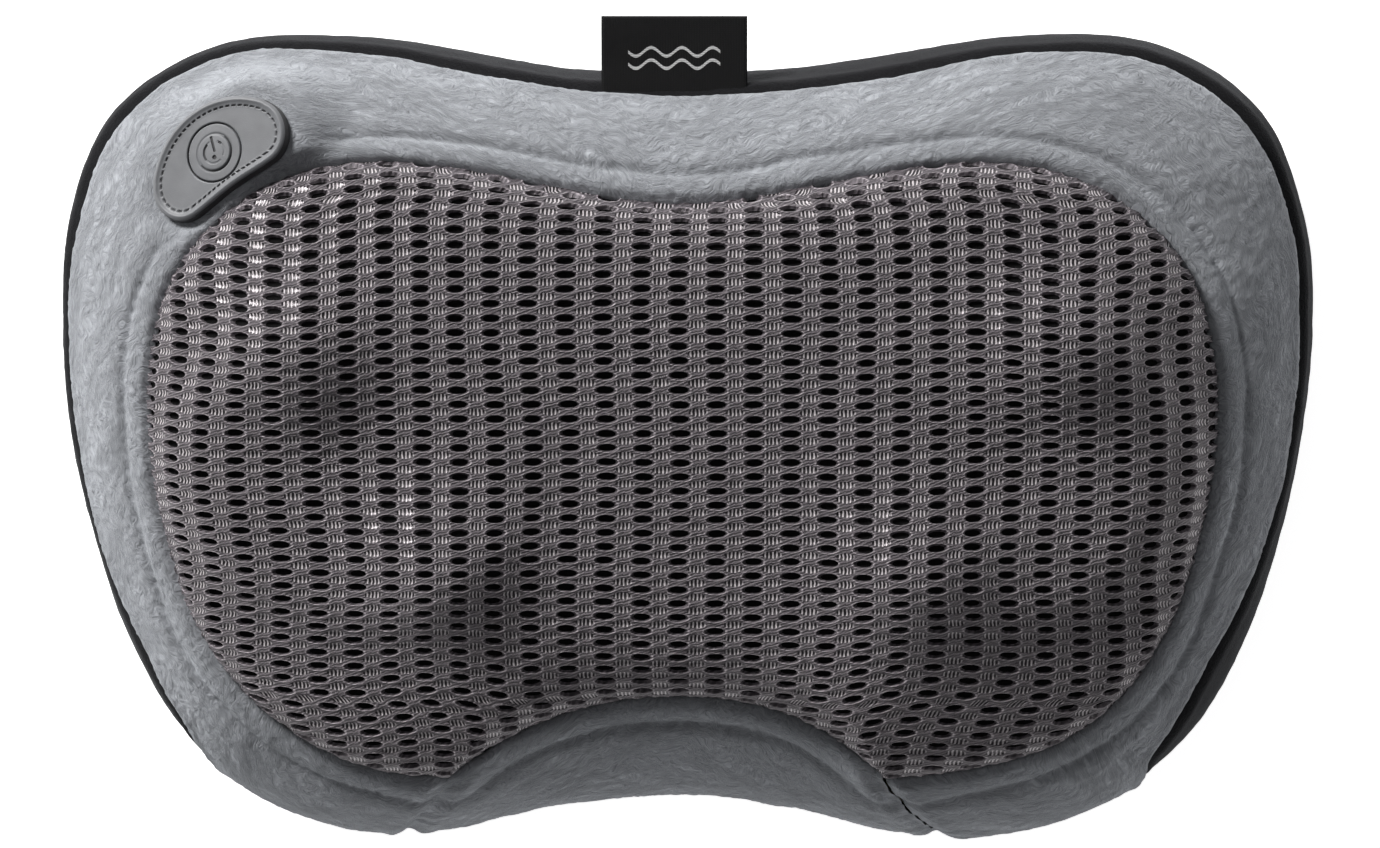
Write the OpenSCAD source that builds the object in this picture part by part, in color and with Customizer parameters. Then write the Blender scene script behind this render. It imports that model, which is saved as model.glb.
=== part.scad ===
// Kidney-shaped shiatsu massage pillow: a padded fabric cover around a geared
// two-arm, four-node massage mechanism. It lies on its flat back. X is across,
// Y is up the pillow, Z comes out of the massage face. All sizes in mm.

/* [Pillow] */
// Overall width of the pillow
pillow_w = 330; // [330:1:336]
// Height of the widest line above the flat back
waist_z = 38; // [36:0.5:39]
// Height of the stitched edge of the mesh panel
edge_z = 80; // [80:0.5:82]
// Height of the mesh panel over the arms, without the bumps
dome_z = 97; // [97:0.5:99]
// Height of the four bumps over the massage nodes
bump_h = 6; // [5:0.5:7]
// How far the seam under the plush border lies inside the widest line
seam_in = 4; // [3:0.5:5]

/* [Fabric] */
// Thickness of the plush border with its backing foam
plush_t = 4; // [3.6:0.1:4]
// Thickness of the black side fabric
gusset_t = 2.4; // [2:0.1:2.4]
// Width of the folded fabric tag
tag_w = 38; // [30:1:44]
// Thickness of the folded fabric tag
tag_t = 1.4; // [1:0.1:1.6]

/* [Massage mechanism] */
// Distance of each arm's axis from the middle
arm_x = 79; // [79:1:79]
// Radius from the arm's axis to a massage node
arm_r = 35; // [32:0.5:35]
// Radius of a massage node
ball_r = 15.5; // [14:0.5:15.5]
// Height of the massage nodes' centres
ball_z = 76; // [75:0.5:76]
// Direction of the left arm from +X, in degrees
arm_a = 123; // [110:1:130]
// Module of the pinion and output gear
out_m = 1.2; // [1.2:0.1:1.2]
// Sideways play cut from each flank of the gear teeth
flank_play = 0.12; // [0.1:0.01:0.16]

/* [Switch and power] */
// Length of the moulded rubber badge
badge_l = 41; // [38:1:42]
// Radius of the power button
button_r = 7.6; // [7:0.1:8]
// Travel of the power button
button_travel = 1; // [0.8:0.1:1.2]
// Radius of the charging jack's bore
jack_r = 2.75; // [2.5:0.05:2.8]

/* [Hidden] */

k = pillow_w / 330;
// Radii of the outline and of the mesh panel's edge, every 10 degrees from
// straight down to straight up; both halves of the pillow are alike.
S_R = [95.5, 98, 105, 120.5, 137, 149, 156, 158, 159.5, 163, 168, 173.5, 174, 161.5, 138, 117, 104, 97.5, 95];
M_R = [80, 81, 87, 97.5, 109.5, 121, 129, 133, 134.5, 136.5, 138.5, 137.5, 128.5, 112.5, 94, 80, 71, 66, 64.5];
// The lower edge of the mesh panel and the lower edge of the pillow are arcs
mesh_arc_y = 156; mesh_arc_r = 93;
edge_arc_y = 302.3; edge_arc_r = 206.8;
back_in = 14;        // how far the flat back lies inside the widest line
top_a = 62;          // angle of the border's curve where the mesh starts
tag_top = 111.5;
NA = 72;

function mirror_i(i) = i < 0 ? -i : i > 18 ? 36 - i : i;
function curve(T, a) = let (u = (a + 90) / 10, i = max(0, min(17, floor(u))), f = u - i,
    p0 = T[mirror_i(i - 1)], p1 = T[i], p2 = T[i + 1], p3 = T[mirror_i(i + 2)])
  0.5 * (2 * p1 + (p2 - p0) * f + (2 * p0 - 5 * p1 + 4 * p2 - p3) * f * f + (3 * p1 - p0 - 3 * p2 + p3) * f * f * f);
function half(a) = let (m = a - 360 * floor((a + 90) / 360)) m > 90 ? 180 - m : m;
function low(a) = half(a) + 90;    // degrees away from straight down
function arc(a, c, r) = let (b = -c * sin(a), d = b * b - c * c + r * r) (b > 0 && d > 0) ? b - sqrt(d) : 1000;
function smooth(x, a, b) = let (t = max(0, min(1, (x - a) / (b - a)))) t * t * (3 - 2 * t);
function mix(a, b, t) = a + (b - a) * t;
function S(a) = k * (low(a) > 33 ? curve(S_R, half(a))
  : mix(arc(half(a), edge_arc_y, edge_arc_r), curve(S_R, half(a)), smooth(low(a), 25, 33)));
function M(a) = k * min(curve(M_R, half(a)), arc(half(a), mesh_arc_y, mesh_arc_r));
function outline_low() = min([for (a = [-90:1:-40]) S(a) * sin(a)]);
shift_y = -(tag_top + outline_low()) / 2;
module place() { translate([0, shift_y, 0]) children(); }

// The side curve at direction a: v runs 0 at the flat back, 1 at the widest
// line and 2 at the mesh edge; t is the depth below the outer surface.
function seam_v(a) = let (q = low(a), A = (S(a) - M(a)) / (1 - cos(top_a)),
    w = 1 + acos(1 - seam_in / A) / top_a) mix(0.85, w, smooth(q, 46, 62));
function zip_cut(a, z) = (low(a) < 41 && z > 7.5 && z < 24.6) ? 2.4 + 5.8 * (1 - cos(1.53 * low(a))) : 0;
function side(a, v, t) = v <= 1
  ? let (p = 90 * (1 - v), n = norm([waist_z * cos(p), back_in * sin(p)]), z = waist_z * (1 - sin(p)))
    [S(a) - back_in * (1 - cos(p)) - t * waist_z * cos(p) / n - zip_cut(a, z), z + t * back_in * sin(p) / n]
  : let (f = top_a * (v - 1), A = (S(a) - M(a)) / (1 - cos(top_a)), B = (edge_z - waist_z) / sin(top_a),
      n = norm([B * cos(f), A * sin(f)]))
    [S(a) - A * (1 - cos(f)) - t * B * cos(f) / n, waist_z + B * sin(f) - t * A * sin(f) / n];
function side_at(a, v, t) = let (p = side(a, v, t)) [p[0] * cos(a), p[0] * sin(a), p[1]];
// Radius of the side curve at height z, less t
function rad(a, z, t) = z <= waist_z
  ? S(a) - back_in * (1 - sqrt(max(0, 1 - pow((waist_z - z) / waist_z, 2)))) - t
  : let (s = (z - waist_z) / (edge_z - waist_z) * sin(top_a))
    S(a) - (S(a) - M(a)) / (1 - cos(top_a)) * (1 - sqrt(1 - s * s)) - t;

// Height of a layer of the front at point x, y: a dome, the ring that the
// nodes sweep, and the bumps. low_by is how far under the dome it lies and
// reach is its distance from the nodes' circle.
function ring_z(x, y, reach) = let (d = norm([abs(x) - arm_x, y]), e = d < 35 ? 0 : d - 35)
  e < reach ? ball_z + sqrt(reach * reach - e * e) - 4 * exp(-d * d / 160) : 0;
function blend(a, b) = 2 * ln(exp((a - 60) / 2) + exp((b - 60) / 2)) + 60;
function bump(x, y, a) = let (dx = abs(x) - arm_x + arm_r * cos(a), dy = y - arm_r * sin(a)) exp(-(dx * dx + dy * dy) / 420);
function front_z(a, rho, low_by, reach) = let (r = rho * M(a), x = r * cos(a), y = r * sin(a),
    dome = edge_z + (dome_z - edge_z) * pow(max(0, 1 - pow(rho, 5)), 0.45) - low_by)
  blend(dome, ring_z(x, y, reach)) + bump_h * (bump(x, y, arm_a) + bump(x, y, arm_a + 180)) * pow(max(0, 1 - pow(rho, 6)), 0.5);
function front_at(a, rho, low_by, reach) = let (r = rho * M(a)) [r * cos(a), r * sin(a), front_z(a, rho, low_by, reach)];

// A solid through cross-section loops of equal length. The second half of
// each loop runs back under the first half.
module skin(L, closed) {
  n = len(L[0]); m = len(L); h = floor(n / 2);
  sides = [for (j = [0:m - (closed ? 1 : 2)]) for (i = [0:n - 1])
    let (a = j * n + i, b = j * n + (i + 1) % n, c = ((j + 1) % m) * n + (i + 1) % n, d = ((j + 1) % m) * n + i)
    each [[a, c, b], [a, d, c]]];
  e = (m - 1) * n;
  caps = closed ? [] : [for (i = [0:h - 2]) each [
    [i, i + 1, n - 2 - i], [i, n - 2 - i, n - 1 - i],
    [e + i, e + n - 2 - i, e + i + 1], [e + i, e + n - 1 - i, e + n - 2 - i]]];
  polyhedron([for (l = L) for (p = l) p], concat(sides, caps));
}
// A domed layer closed by its own underside
module layer(rhos, lo, hi) {
  n = len(rhos);
  pts = concat([for (r = rhos) for (i = [0:NA - 1]) front_at(360 / NA * i, r, lo[0], lo[1])],
               [for (r = rhos) for (i = [0:NA - 1]) front_at(360 / NA * i, r, hi[0], hi[1])],
               [front_at(0, 0, lo[0], lo[1]), front_at(0, 0, hi[0], hi[1])]);
  o = n * NA; c0 = 2 * n * NA; c1 = c0 + 1;
  faces = [for (j = [0:n - 2]) for (i = [0:NA - 1]) let (a = j * NA + i, b = j * NA + (i + 1) % NA, c = a + NA, d = b + NA)
      each [[a, b, d], [a, d, c], [o + a, o + d, o + b], [o + a, o + c, o + d]]];
  mid = [for (i = [0:NA - 1]) let (b = (i + 1) % NA) each [[c0, b, i], [c1, o + i, o + b]]];
  q = (n - 1) * NA;
  rim = [for (i = [0:NA - 1]) let (b = (i + 1) % NA) each [[q + i, q + b, o + q + b], [q + i, o + q + b, o + q + i]]];
  polyhedron(pts, concat(faces, mid, rim));
}
function flat(a0, a1, st, z, t) = [for (a = [a0:st:a1]) let (r = rad(a, z, t)) [r * cos(a), r * sin(a)]];

// Panels of the cover --------------------------------------------------------
gap = 0.3;
module back_panel() { color([0.09, 0.09, 0.1]) place() linear_extrude(2)
  polygon([for (a = [0:360 / NA:359.9]) (S(a) - back_in - 0.4) * [cos(a), sin(a)]]); }
gv = [0.02, 0.2, 0.392, 0.421, 0.76, 0.781, 0.85, 0.93, 1, 1.1];
module side_gusset() { color([0.1, 0.1, 0.11]) place() difference() {
  skin([for (j = [0:NA - 1]) let (a = j * 360 / NA, top = seam_v(a) - 0.004,
      vs = [for (v = gv) v < 0.8 ? v : 0.8 + (v - 0.8) / 0.3 * (top - 0.8)])
    concat([for (v = vs) side_at(a, v, gusset_t)], [for (i = [len(vs) - 1:-1:0]) side_at(a, vs[i], 0)])], true);
  translate([140, 0, 20]) rotate([0, 90, 0]) cylinder(r = 5.2, h = 40, $fn = 48);
  translate([jack_x - 0.1, 0, 20]) rotate([0, 90, 0]) cylinder(r = 6.75, h = 20, $fn = 48);
  translate([-2.5 - tag_w / 2 - 0.15, 92.2, 51.85]) cube([tag_w + 0.3, 12, tag_t + 0.3]);
} }
bv = [0, 0.12, 0.28, 0.45, 0.64, 0.83, 0.94, 1];
function border_loop(a) = let (s = seam_v(a) + 0.006) concat(
  [for (u = bv) side_at(a, mix(s, 1.985, u), 0)], [for (i = [len(bv) - 1:-1:0]) side_at(a, mix(s, 1.985, bv[i]), plush_t)]);
module front_border_cover() { color([0.55, 0.56, 0.58]) place() difference() {
  skin([for (a = [-54.8, for (b = [-50:5:230]) b, 234.8]) border_loop(a)], false);
  on_badge() translate([0, 0, -20]) cylinder(r = 10.5, h = 30, $fn = 64);
  on_badge() translate([0, 0, -16]) cylinder(r = 12.4, h = 7.35, $fn = 64);
  on_badge() rotate([0, 0, badge_rot]) translate([0, 0, -0.05]) linear_extrude(12) polygon(bean(-0.15));
} }
module lower_center_panel() { color([0.5, 0.51, 0.53]) place()
  skin([for (a = [-125.2, for (b = [-120:5:-60]) b, -55.2]) border_loop(a)], false); }
module mesh_panel() { color([0.33, 0.31, 0.33]) place()
  layer([0.12, 0.26, 0.4, 0.52, 0.62, 0.71, 0.79, 0.86, 0.91, 0.95, 0.98, 0.998], [3, 18.2], [0, 21]); }
module inner_lining() { color([0.2, 0.2, 0.22]) place()
  layer([0.12, 0.26, 0.4, 0.52, 0.62, 0.71, 0.79, 0.86, 0.91, 0.95, 0.972], [4.6, 16.8], [3.5, 17.8]); }
module label_tag() { color([0.05, 0.05, 0.05]) place() translate([-2.5, 0, 52]) {
  translate([-tag_w / 2, 92.4, 0]) cube([tag_w, tag_top - 92.4 - tag_t / 2, tag_t]);
  translate([-tag_w / 2, tag_top - tag_t / 2, tag_t / 2]) rotate([0, 90, 0]) cylinder(r = tag_t / 2, h = tag_w, $fn = 24);
} }

// Foam ----------------------------------------------------------------------
module stadium(r) { translate([-arm_x, 0]) circle(r = r, $fn = 96); translate([arm_x, 0]) circle(r = r, $fn = 96);
  translate([-arm_x, -r]) square([2 * arm_x, 2 * r]); }
foam = [[2.6, 12, 2.6], [12, 34, 12], [34, 50, 50], [50, 62, 62], [62, 70, 70]];
module foam_surround() { color([0.9, 0.87, 0.7]) place() difference() {
  union() for (f = foam) translate([0, 0, f[0]]) linear_extrude(f[1] - f[0])
    polygon([for (a = [0:360 / NA:359.9]) (rad(a, f[2], 6.2 + (f[2] < 10 ? 1.5 : 0) + (low(a) < 46 && f[2] < 30 ? 2.4 : 0)
      + (f[2] > 60 ? 4 : 0)) ) * [cos(a), sin(a)]]);
  translate([0, 0, -1]) linear_extrude(90) stadium(54.6);
  translate([130, 0, 20]) rotate([0, 90, 0]) cylinder(r = 6, h = 40, $fn = 48);
  on_badge() translate([0, 0, -26]) cylinder(r = 13, h = 40, $fn = 64);
  translate([-106, 54, 43]) cube([32, 34, 50], center = true);
} }
module back_foam_pad() { color([0.88, 0.85, 0.68]) place() translate([0, 0, 2.6]) linear_extrude(4.6) stadium(54); }

// Zip along the lower edge ------------------------------------------------------
zip_tilt = -0.275;   // the gusset leans inwards towards the back
zip_half = 16;
function zp(z, off) = edge_arc_r + 2.6 + 2.4 + (z - 16) * zip_tilt - off;
module zip_ring(z0, z1, o0, o1, a0, a1) { translate([0, -edge_arc_y, 0]) rotate([0, 0, 90 - a1])
  rotate_extrude(angle = a1 - a0, $fn = 360) polygon([[zp(z0, o0), z0], [zp(z0, o1), z0], [zp(z1, o1), z1], [zp(z1, o0), z1]]); }
module zipper_tape() { color([0.08, 0.08, 0.08]) place() zip_ring(9, 23.4, 0.7, 1.3, -zip_half, zip_half); }
module zipper_chain() { color([0.25, 0.25, 0.26]) place() zip_ring(13.4, 18.6, 1.4, 2.6, -zip_half, zip_half); }
// Hinge pin line of the pull
pull_a = -13.8;
function pull_at() = [(zp(17.4, 6.2)) * sin(pull_a), -edge_arc_y + zp(17.4, 6.2) * cos(pull_a), 17.4];
module at_pull() { translate(pull_at()) rotate([0, 0, -pull_a]) children(); }
module zipper_slider() { color([0.3, 0.3, 0.32]) place() { zip_ring(11.6, 20.4, 2.9, 4.6, -15, -12.6);
  at_pull() { for (s = [-3.8, 3]) translate([s, -0.9, -0.9]) cube([0.8, 2.9, 1.8]);
    translate([-3.4, 0, 0]) rotate([0, 90, 0]) cylinder(r = 0.65, h = 6.8, $fn = 32); } } }
module zipper_pull() { color([0.12, 0.12, 0.12]) place() at_pull() difference() {
  union() { translate([-2.6, -0.7, -12.6]) cube([5.2, 1.4, 12.6]); translate([-2.6, 0, 0]) rotate([0, 90, 0]) cylinder(r = 1.25, h = 5.2, $fn = 32); }
  translate([-1.3, -2, -11]) cube([2.6, 4, 7]);
  translate([-4, 0, 0]) rotate([0, 90, 0]) cylinder(r = 0.72, h = 8, $fn = 32); } }

// Power switch -------------------------------------------------------------------
badge_dir = 147.2; badge_rad = 141; badge_tip = 25; badge_rot = 37; badge_h = 76.2;
module on_badge() { translate([badge_rad * cos(badge_dir), badge_rad * sin(badge_dir), badge_h])
  rotate([0, 0, badge_dir]) rotate([0, badge_tip, 0]) rotate([0, 0, -badge_dir]) children(); }
// Bean outline: a stadium bent about a point below its middle
function bean(g) = let (R = 34, h = badge_l / 2 - 9, w = asin(h / R)) concat(
  [for (t = [-w:w / 4:w]) [(R + 10.5 - g) * sin(t), (R + 10.5 - g) * cos(t) - R]],
  [for (t = [0:18:180]) let (c = [R * sin(w), R * cos(w) - R]) c + (9.6 - g) * [sin(w + t), cos(w + t)]],
  [for (t = [w:-w / 4:-w]) [(R - 8.7 + g) * sin(t), (R - 8.7 + g) * cos(t) - R]],
  [for (t = [180:18:360]) let (c = [-R * sin(w), R * cos(w) - R]) c + (9.6 - g) * [sin(-w + t), cos(-w + t)]]);
module switch_badge() { color([0.3, 0.31, 0.33]) place() on_badge() difference() {
  rotate([0, 0, badge_rot]) union() { linear_extrude(2.4) polygon(bean(0)); linear_extrude(3.2) difference() { polygon(bean(1)); polygon(bean(3)); } }
  translate([0, 0, -1]) cylinder(r = button_r + 0.3, h = 8, $fn = 64);
} }
module power_button() { color([0.3, 0.31, 0.33]) place() on_badge() {
  difference() { translate([0, 0, 0.2]) cylinder(r = button_r, h = 2.8, $fn = 64);
    translate([0, 0, 2.5]) rotate_extrude($fn = 64) translate([4.9, 0]) square([1.1, 2]); }
  translate([0, 0, -1.65]) cylinder(r = 3, h = 2.2, $fn = 48);
} }
module button_spring() { color("silver") place() on_badge() { R = 5.4; turns = 3.5; n = 56;
  tube([for (i = [0:n]) let (a = 360 * turns * i / n) [R * cos(a), R * sin(a), -6.75 + 5.5 * i / n]], 0.28, 6); } }
module switch_housing() { color([0.15, 0.15, 0.16]) place() on_badge() difference() {
  union() { translate([0, 0, -9]) cylinder(r = 9.8, h = 8.2, $fn = 64); translate([0, 0, -10.4]) cylinder(r = 12, h = 1.6, $fn = 64); }
  translate([0, 0, -8.6]) cylinder(r = 8.6, h = 10, $fn = 64);
} }
module switch_board() { color([0.1, 0.35, 0.2]) place() on_badge() translate([0, 0, -8.3]) difference() {
  cylinder(r = 8.3, h = 1.2, $fn = 64);
  for (s = [-1, 1]) translate([6.2 * s, 0, -1]) cylinder(r = 0.9, h = 4, $fn = 32); } }
module tact_switch() { color([0.2, 0.2, 0.2]) place() on_badge() translate([0, 0, -7.05]) {
  translate([-3, -3, 0]) cube([6, 6, 3.4]); translate([0, 0, 3.3]) cylinder(r = 1.75, h = 1, $fn = 32); } }

// Plastic case ----------------------------------------------------------------
case_z = 7.5; lid_z = 44.3; wall = 2.5;
bosses = concat([for (s = [-1, 1]) for (t = [-1, 1]) [s * (arm_x + 34.1), t * 34.1]], [for (s = [-1, 1]) for (t = [-1, 1]) [s * 20, t * 47.6]]);
module rear_housing() { color([0.16, 0.16, 0.17]) place() difference() {
  union() {
    translate([0, 0, case_z]) difference() { linear_extrude(lid_z - case_z) stadium(53.5);
      translate([0, 0, wall]) linear_extrude(60) stadium(53.5 - wall); }
    for (b = bosses) translate([b[0], b[1], case_z + 1]) cylinder(r = 2.9, h = lid_z - case_z - 1, $fn = 32);
    for (s = [-1, 1]) { translate([s * arm_x, 0, case_z + 1]) cylinder(r = 10, h = 14.5, $fn = 64);
      translate([s * 25, 0, case_z + 1]) cylinder(r = 5, h = 12.8, $fn = 48); }
    translate([-4.5, -23.5, case_z + 1]) cube([9, 5, 24]);
    for (p = board_pts) translate([p[0], p[1], case_z + 1]) cylinder(r = 2.6, h = 4.4, $fn = 32);
  }
  for (b = bosses) translate([b[0], b[1], lid_z - 14]) cylinder(r = 1.3, h = 20, $fn = 32);
  for (s = [-1, 1]) { translate([s * arm_x, 0, 13]) cylinder(r = 7.5, h = 30, $fn = 64);
    translate([s * 25, 0, 9.5]) cylinder(r = 2.5, h = 30, $fn = 48); }
  translate([0, -30, 25]) rotate([-90, 0, 0]) cylinder(r = 2.05, h = 14, $fn = 48);
  for (p = board_pts) translate([p[0], p[1], 9.4]) cylinder(r = 1, h = 8, $fn = 32);
  translate([120, 0, 20]) rotate([0, 90, 0]) cylinder(r = 3, h = 30, $fn = 32);
  translate([-95, 40, 27]) rotate([-90, 0, 25]) cylinder(r = 2.5, h = 30, $fn = 32);
} }
module front_housing() { color([0.2, 0.2, 0.21]) place() difference() {
  union() {
    translate([0, 0, lid_z + 0.05]) linear_extrude(3) stadium(53.5);
    for (s = [-1, 1]) { translate([s * arm_x, 0, 41]) cylinder(r = 10, h = 8.4, $fn = 64);
      translate([s * 25, 0, 40.6]) cylinder(r = 5, h = 5, $fn = 48); }
    difference() { translate([0, 0, lid_z - 1.6]) linear_extrude(2) stadium(50.6); translate([0, 0, lid_z - 3]) linear_extrude(3.05) stadium(48.8);
      for (b = bosses) translate([b[0], b[1], 30]) cylinder(r = 3.4, h = 14.3, $fn = 32); }
  }
  for (s = [-1, 1]) { translate([s * arm_x, 0, 30]) cylinder(r = 7.5, h = 30, $fn = 64);
    translate([s * 25, 0, 30]) cylinder(r = 2.5, h = 13.6, $fn = 48); }
  for (b = bosses) translate([b[0], b[1], 30]) cylinder(r = 1.7, h = 30, $fn = 32);
} }
module housing_screws() { color("silver") place() for (b = bosses) translate([b[0], b[1], 0]) difference() {
  union() { translate([0, 0, 33]) cylinder(r = 1.25, h = 14.6, $fn = 32); translate([0, 0, 47.4]) cylinder(r = 2.6, h = 1.8, $fn = 32); }
  for (t = [0, 90]) translate([0, 0, 48.9]) rotate([0, 0, t]) cube([3, 0.7, 1.2], center = true); } }

// Motor and worm ----------------------------------------------------------------
mz = 25;
module along_y(y) { translate([0, y, mz]) rotate([-90, 0, 0]) children(); }
module motor_can() { color([0.7, 0.71, 0.73]) place() difference() {
  union() { along_y(17) cylinder(r = 13, h = 29.4, $fn = 96); along_y(14.4) cylinder(r = 4.6, h = 3, $fn = 48); }
  along_y(18) cylinder(r = 12, h = 40, $fn = 96);
  along_y(10) cylinder(r = 2.05, h = 14, $fn = 48); } }
module motor_end_cap() { color([0.12, 0.12, 0.13]) place() difference() {
  union() { along_y(46.45) cylinder(r = 13, h = 2, $fn = 96); along_y(44.5) cylinder(r = 11.9, h = 2.2, $fn = 96);
    for (s = [-1, 1]) translate([s * 7 - 1, 48, mz + 4]) cube([2, 2.4, 0.6]); }
  along_y(40) cylinder(r = 2.05, h = 7.6, $fn = 48); } }
module motor_magnets() { color([0.25, 0.25, 0.27]) place() for (s = [0, 180]) intersection() {
  difference() { along_y(20) cylinder(r = 11.95, h = 22, $fn = 96); along_y(19) cylinder(r = 10.2, h = 24, $fn = 96); }
  translate([0, 31, mz]) rotate([0, s, 0]) translate([9, 0, 0]) cube([12, 30, 17], center = true); } }
module motor_rotor() { color([0.6, 0.35, 0.2]) place() difference() {
  union() { along_y(21) cylinder(r = 9.8, h = 19, $fn = 96); along_y(40) cylinder(r = 4.5, h = 3.8, $fn = 48); }
  along_y(18) cylinder(r = 2, h = 30, $fn = 48);
  for (i = [0:4]) translate([0, 0, mz]) rotate([0, i * 72, 0]) translate([8.8, 30, 0]) cube([3, 30, 1.6], center = true); } }
module motor_shaft() { color("silver") place() along_y(-22.5) cylinder(r = 2, h = 69, $fn = 48); }
module motor_cradle() { color([0.2, 0.2, 0.21]) place() difference() {
  for (y = [21, 38]) translate([-15, y, case_z + wall + 0.02]) cube([30, 4, 14]);
  along_y(10) cylinder(r = 13.02, h = 60, $fn = 96); } }
// Single-start worm, module 1, right-handed
worm_r = 7; worm_len = 25; worm_steps = 24;
function worm_pt(b, y, r) = [r * cos(b), y, -r * sin(b)];
module worm() { color([0.85, 0.85, 0.8]) place() translate([0, 0, mz]) {
  difference() { translate([0, -worm_len / 2 - 3, 0]) rotate([-90, 0, 0]) cylinder(r = 5.75, h = worm_len + 4, $fn = 96);
    translate([0, -30, 0]) rotate([-90, 0, 0]) cylinder(r = 2, h = 60, $fn = 48); }
  n = 7 * worm_steps;
  skin([for (i = [0:n]) let (b = 360 * (i - n / 2) / worm_steps, y = PI * b / 360 + PI / 2)
    [worm_pt(b, y + 0.85, 5.5), worm_pt(b, y + 0.28, 7.75), worm_pt(b, y - 0.28, 7.75), worm_pt(b, y - 0.85, 5.5)]], false);
} }

// Gears --------------------------------------------------------------------------
// One flank of an involute tooth: half angle at radius r for a 20 degree gear
function inv(r, rb) = r <= rb ? 0 : let (q = acos(rb / r)) tan(q) * 180 / PI - q;
function half_tooth(r, rp, n, play) = 90 / n + inv(rp, rp * cos(20)) - inv(r, rp * cos(20)) - play / rp * 180 / PI;
function gear_pts(m, n, add, ded, play) = let (rp = m * n / 2, r0 = rp - ded, r1 = rp + add, rr = [for (i = [0:4]) r0 + (r1 - r0) * i / 4])
  [for (t = [0:n - 1]) for (i = [0:9]) let (j = i < 5 ? i : 9 - i, sgn = i < 5 ? -1 : 1, a = 360 / n * t + sgn * half_tooth(rr[j], rp, n, play))
    rr[j] * [cos(a), sin(a)]];
module idler(turn) { rotate([0, 0, turn]) difference() {
  union() { translate([0, 0, 22]) linear_extrude(6) polygon(gear_pts(1, 36, 0.85, 1.2, flank_play + 0.14));
    translate([0, 0, 21.6]) cylinder(r = 7, h = 10, $fn = 64);
    translate([0, 0, 31.4]) linear_extrude(7.6) polygon(gear_pts(out_m, 18, out_m * 0.95, out_m * 1.2, flank_play)); }
  translate([0, 0, 10]) cylinder(r = 2.55, h = 40, $fn = 48); } }
module idler_gear_left() { color([0.85, 0.83, 0.75]) place() translate([-25, 0, 0]) idler(5); }
module idler_gear_right() { color([0.85, 0.83, 0.75]) place() translate([25, 0, 0]) idler(0); }
module idler_pins() { color("silver") place() for (s = [-1, 1]) translate([s * 25, 0, 9.5]) cylinder(r = 2.5, h = 34, $fn = 48); }
module output_gear(turn) { rotate([0, 0, turn]) difference() {
  union() { translate([0, 0, 32]) linear_extrude(6.4) difference() { polygon(gear_pts(out_m, 72, out_m * 0.95, out_m * 1.2, flank_play)); circle(r = 38, $fn = 96); }
    translate([0, 0, 33]) cylinder(r = 38.5, h = 3, $fn = 96);
    translate([0, 0, 28]) cylinder(r = 9, h = 12, $fn = 64);
    for (i = [0:5]) rotate([0, 0, 60 * i]) translate([8, -1, 32.4]) cube([31, 2, 5.4]); }
  translate([0, 0, 20]) cylinder(r = 5, h = 40, $fn = 64);
  for (i = [0:5]) rotate([0, 0, 60 * i + 30]) translate([24, 0, 20]) cylinder(r = 7, h = 40, $fn = 48); } }
module output_gear_left() { color([0.9, 0.89, 0.84]) place() translate([-arm_x, 0, 0]) output_gear(1.25); }
module output_gear_right() { color([0.9, 0.89, 0.84]) place() translate([arm_x, 0, 0]) output_gear(2.5); }
module output_shaft(s) { translate([s * arm_x, 0, 14]) difference() { cylinder(r = 5, h = 46, $fn = 64); translate([0, 0, 34]) cylinder(r = 1.6, h = 20, $fn = 32); } }
module output_shaft_left() { color("silver") place() output_shaft(-1); }
module output_shaft_right() { color("silver") place() output_shaft(1); }
module bushing(z, h) { translate([0, 0, z]) difference() { cylinder(r = 7.48, h = h, $fn = 64); translate([0, 0, -1]) cylinder(r = 5.06, h = h + 2, $fn = 64); } }
module lower_bushings() { color([0.7, 0.5, 0.3]) place() for (s = [-1, 1]) translate([s * arm_x, 0, 0]) bushing(13.1, 9.4); }
module upper_bushings() { color([0.7, 0.5, 0.3]) place() for (s = [-1, 1]) translate([s * arm_x, 0, 0]) bushing(41, 8.4); }

// Arms and nodes --------------------------------------------------------------------
function arm_dir(s) = s < 0 ? arm_a : 180 - arm_a;
module arm_frame(s) { translate([s * arm_x, 0, 0]) rotate([0, 0, arm_dir(s)]) children(); }
module massage_arm(s) { arm_frame(s) difference() {
  union() { translate([0, 0, 50]) cylinder(r = 11.5, h = 10, $fn = 64);
    translate([-arm_r, -7, 51]) cube([2 * arm_r, 14, 6]);
    translate([-arm_r, -2, 56]) cube([2 * arm_r, 4, 3]);
    for (t = [-1, 1]) translate([t * arm_r, 0, 51]) cylinder(r = 9.5, h = 8, $fn = 64); }
  translate([0, 0, 40]) cylinder(r = 5, h = 30, $fn = 64);
  for (t = [-1, 1]) translate([t * arm_r, 0, 52]) cylinder(r = 4, h = 20, $fn = 48); } }
module massage_arm_left() { color([0.75, 0.3, 0.2]) place() massage_arm(-1); }
module massage_arm_right() { color([0.75, 0.3, 0.2]) place() massage_arm(1); }
module arm_screw(s) { translate([s * arm_x, 0, 0]) difference() {
  union() { translate([0, 0, 60.05]) cylinder(r = 7, h = 1.2, $fn = 64); translate([0, 0, 61]) cylinder(r = 3.4, h = 2.2, $fn = 48);
    translate([0, 0, 49]) cylinder(r = 1.6, h = 13, $fn = 32); }
  for (t = [0, 90]) translate([0, 0, 63.1]) rotate([0, 0, t]) cube([4.2, 0.9, 1.8], center = true); } }
module arm_screw_left() { color("silver") place() arm_screw(-1); }
module arm_screw_right() { color("silver") place() arm_screw(1); }
module node_axles(s) { arm_frame(s) for (t = [-1, 1]) translate([t * arm_r, 0, 52]) cylinder(r = 4, h = 29, $fn = 48); }
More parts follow.
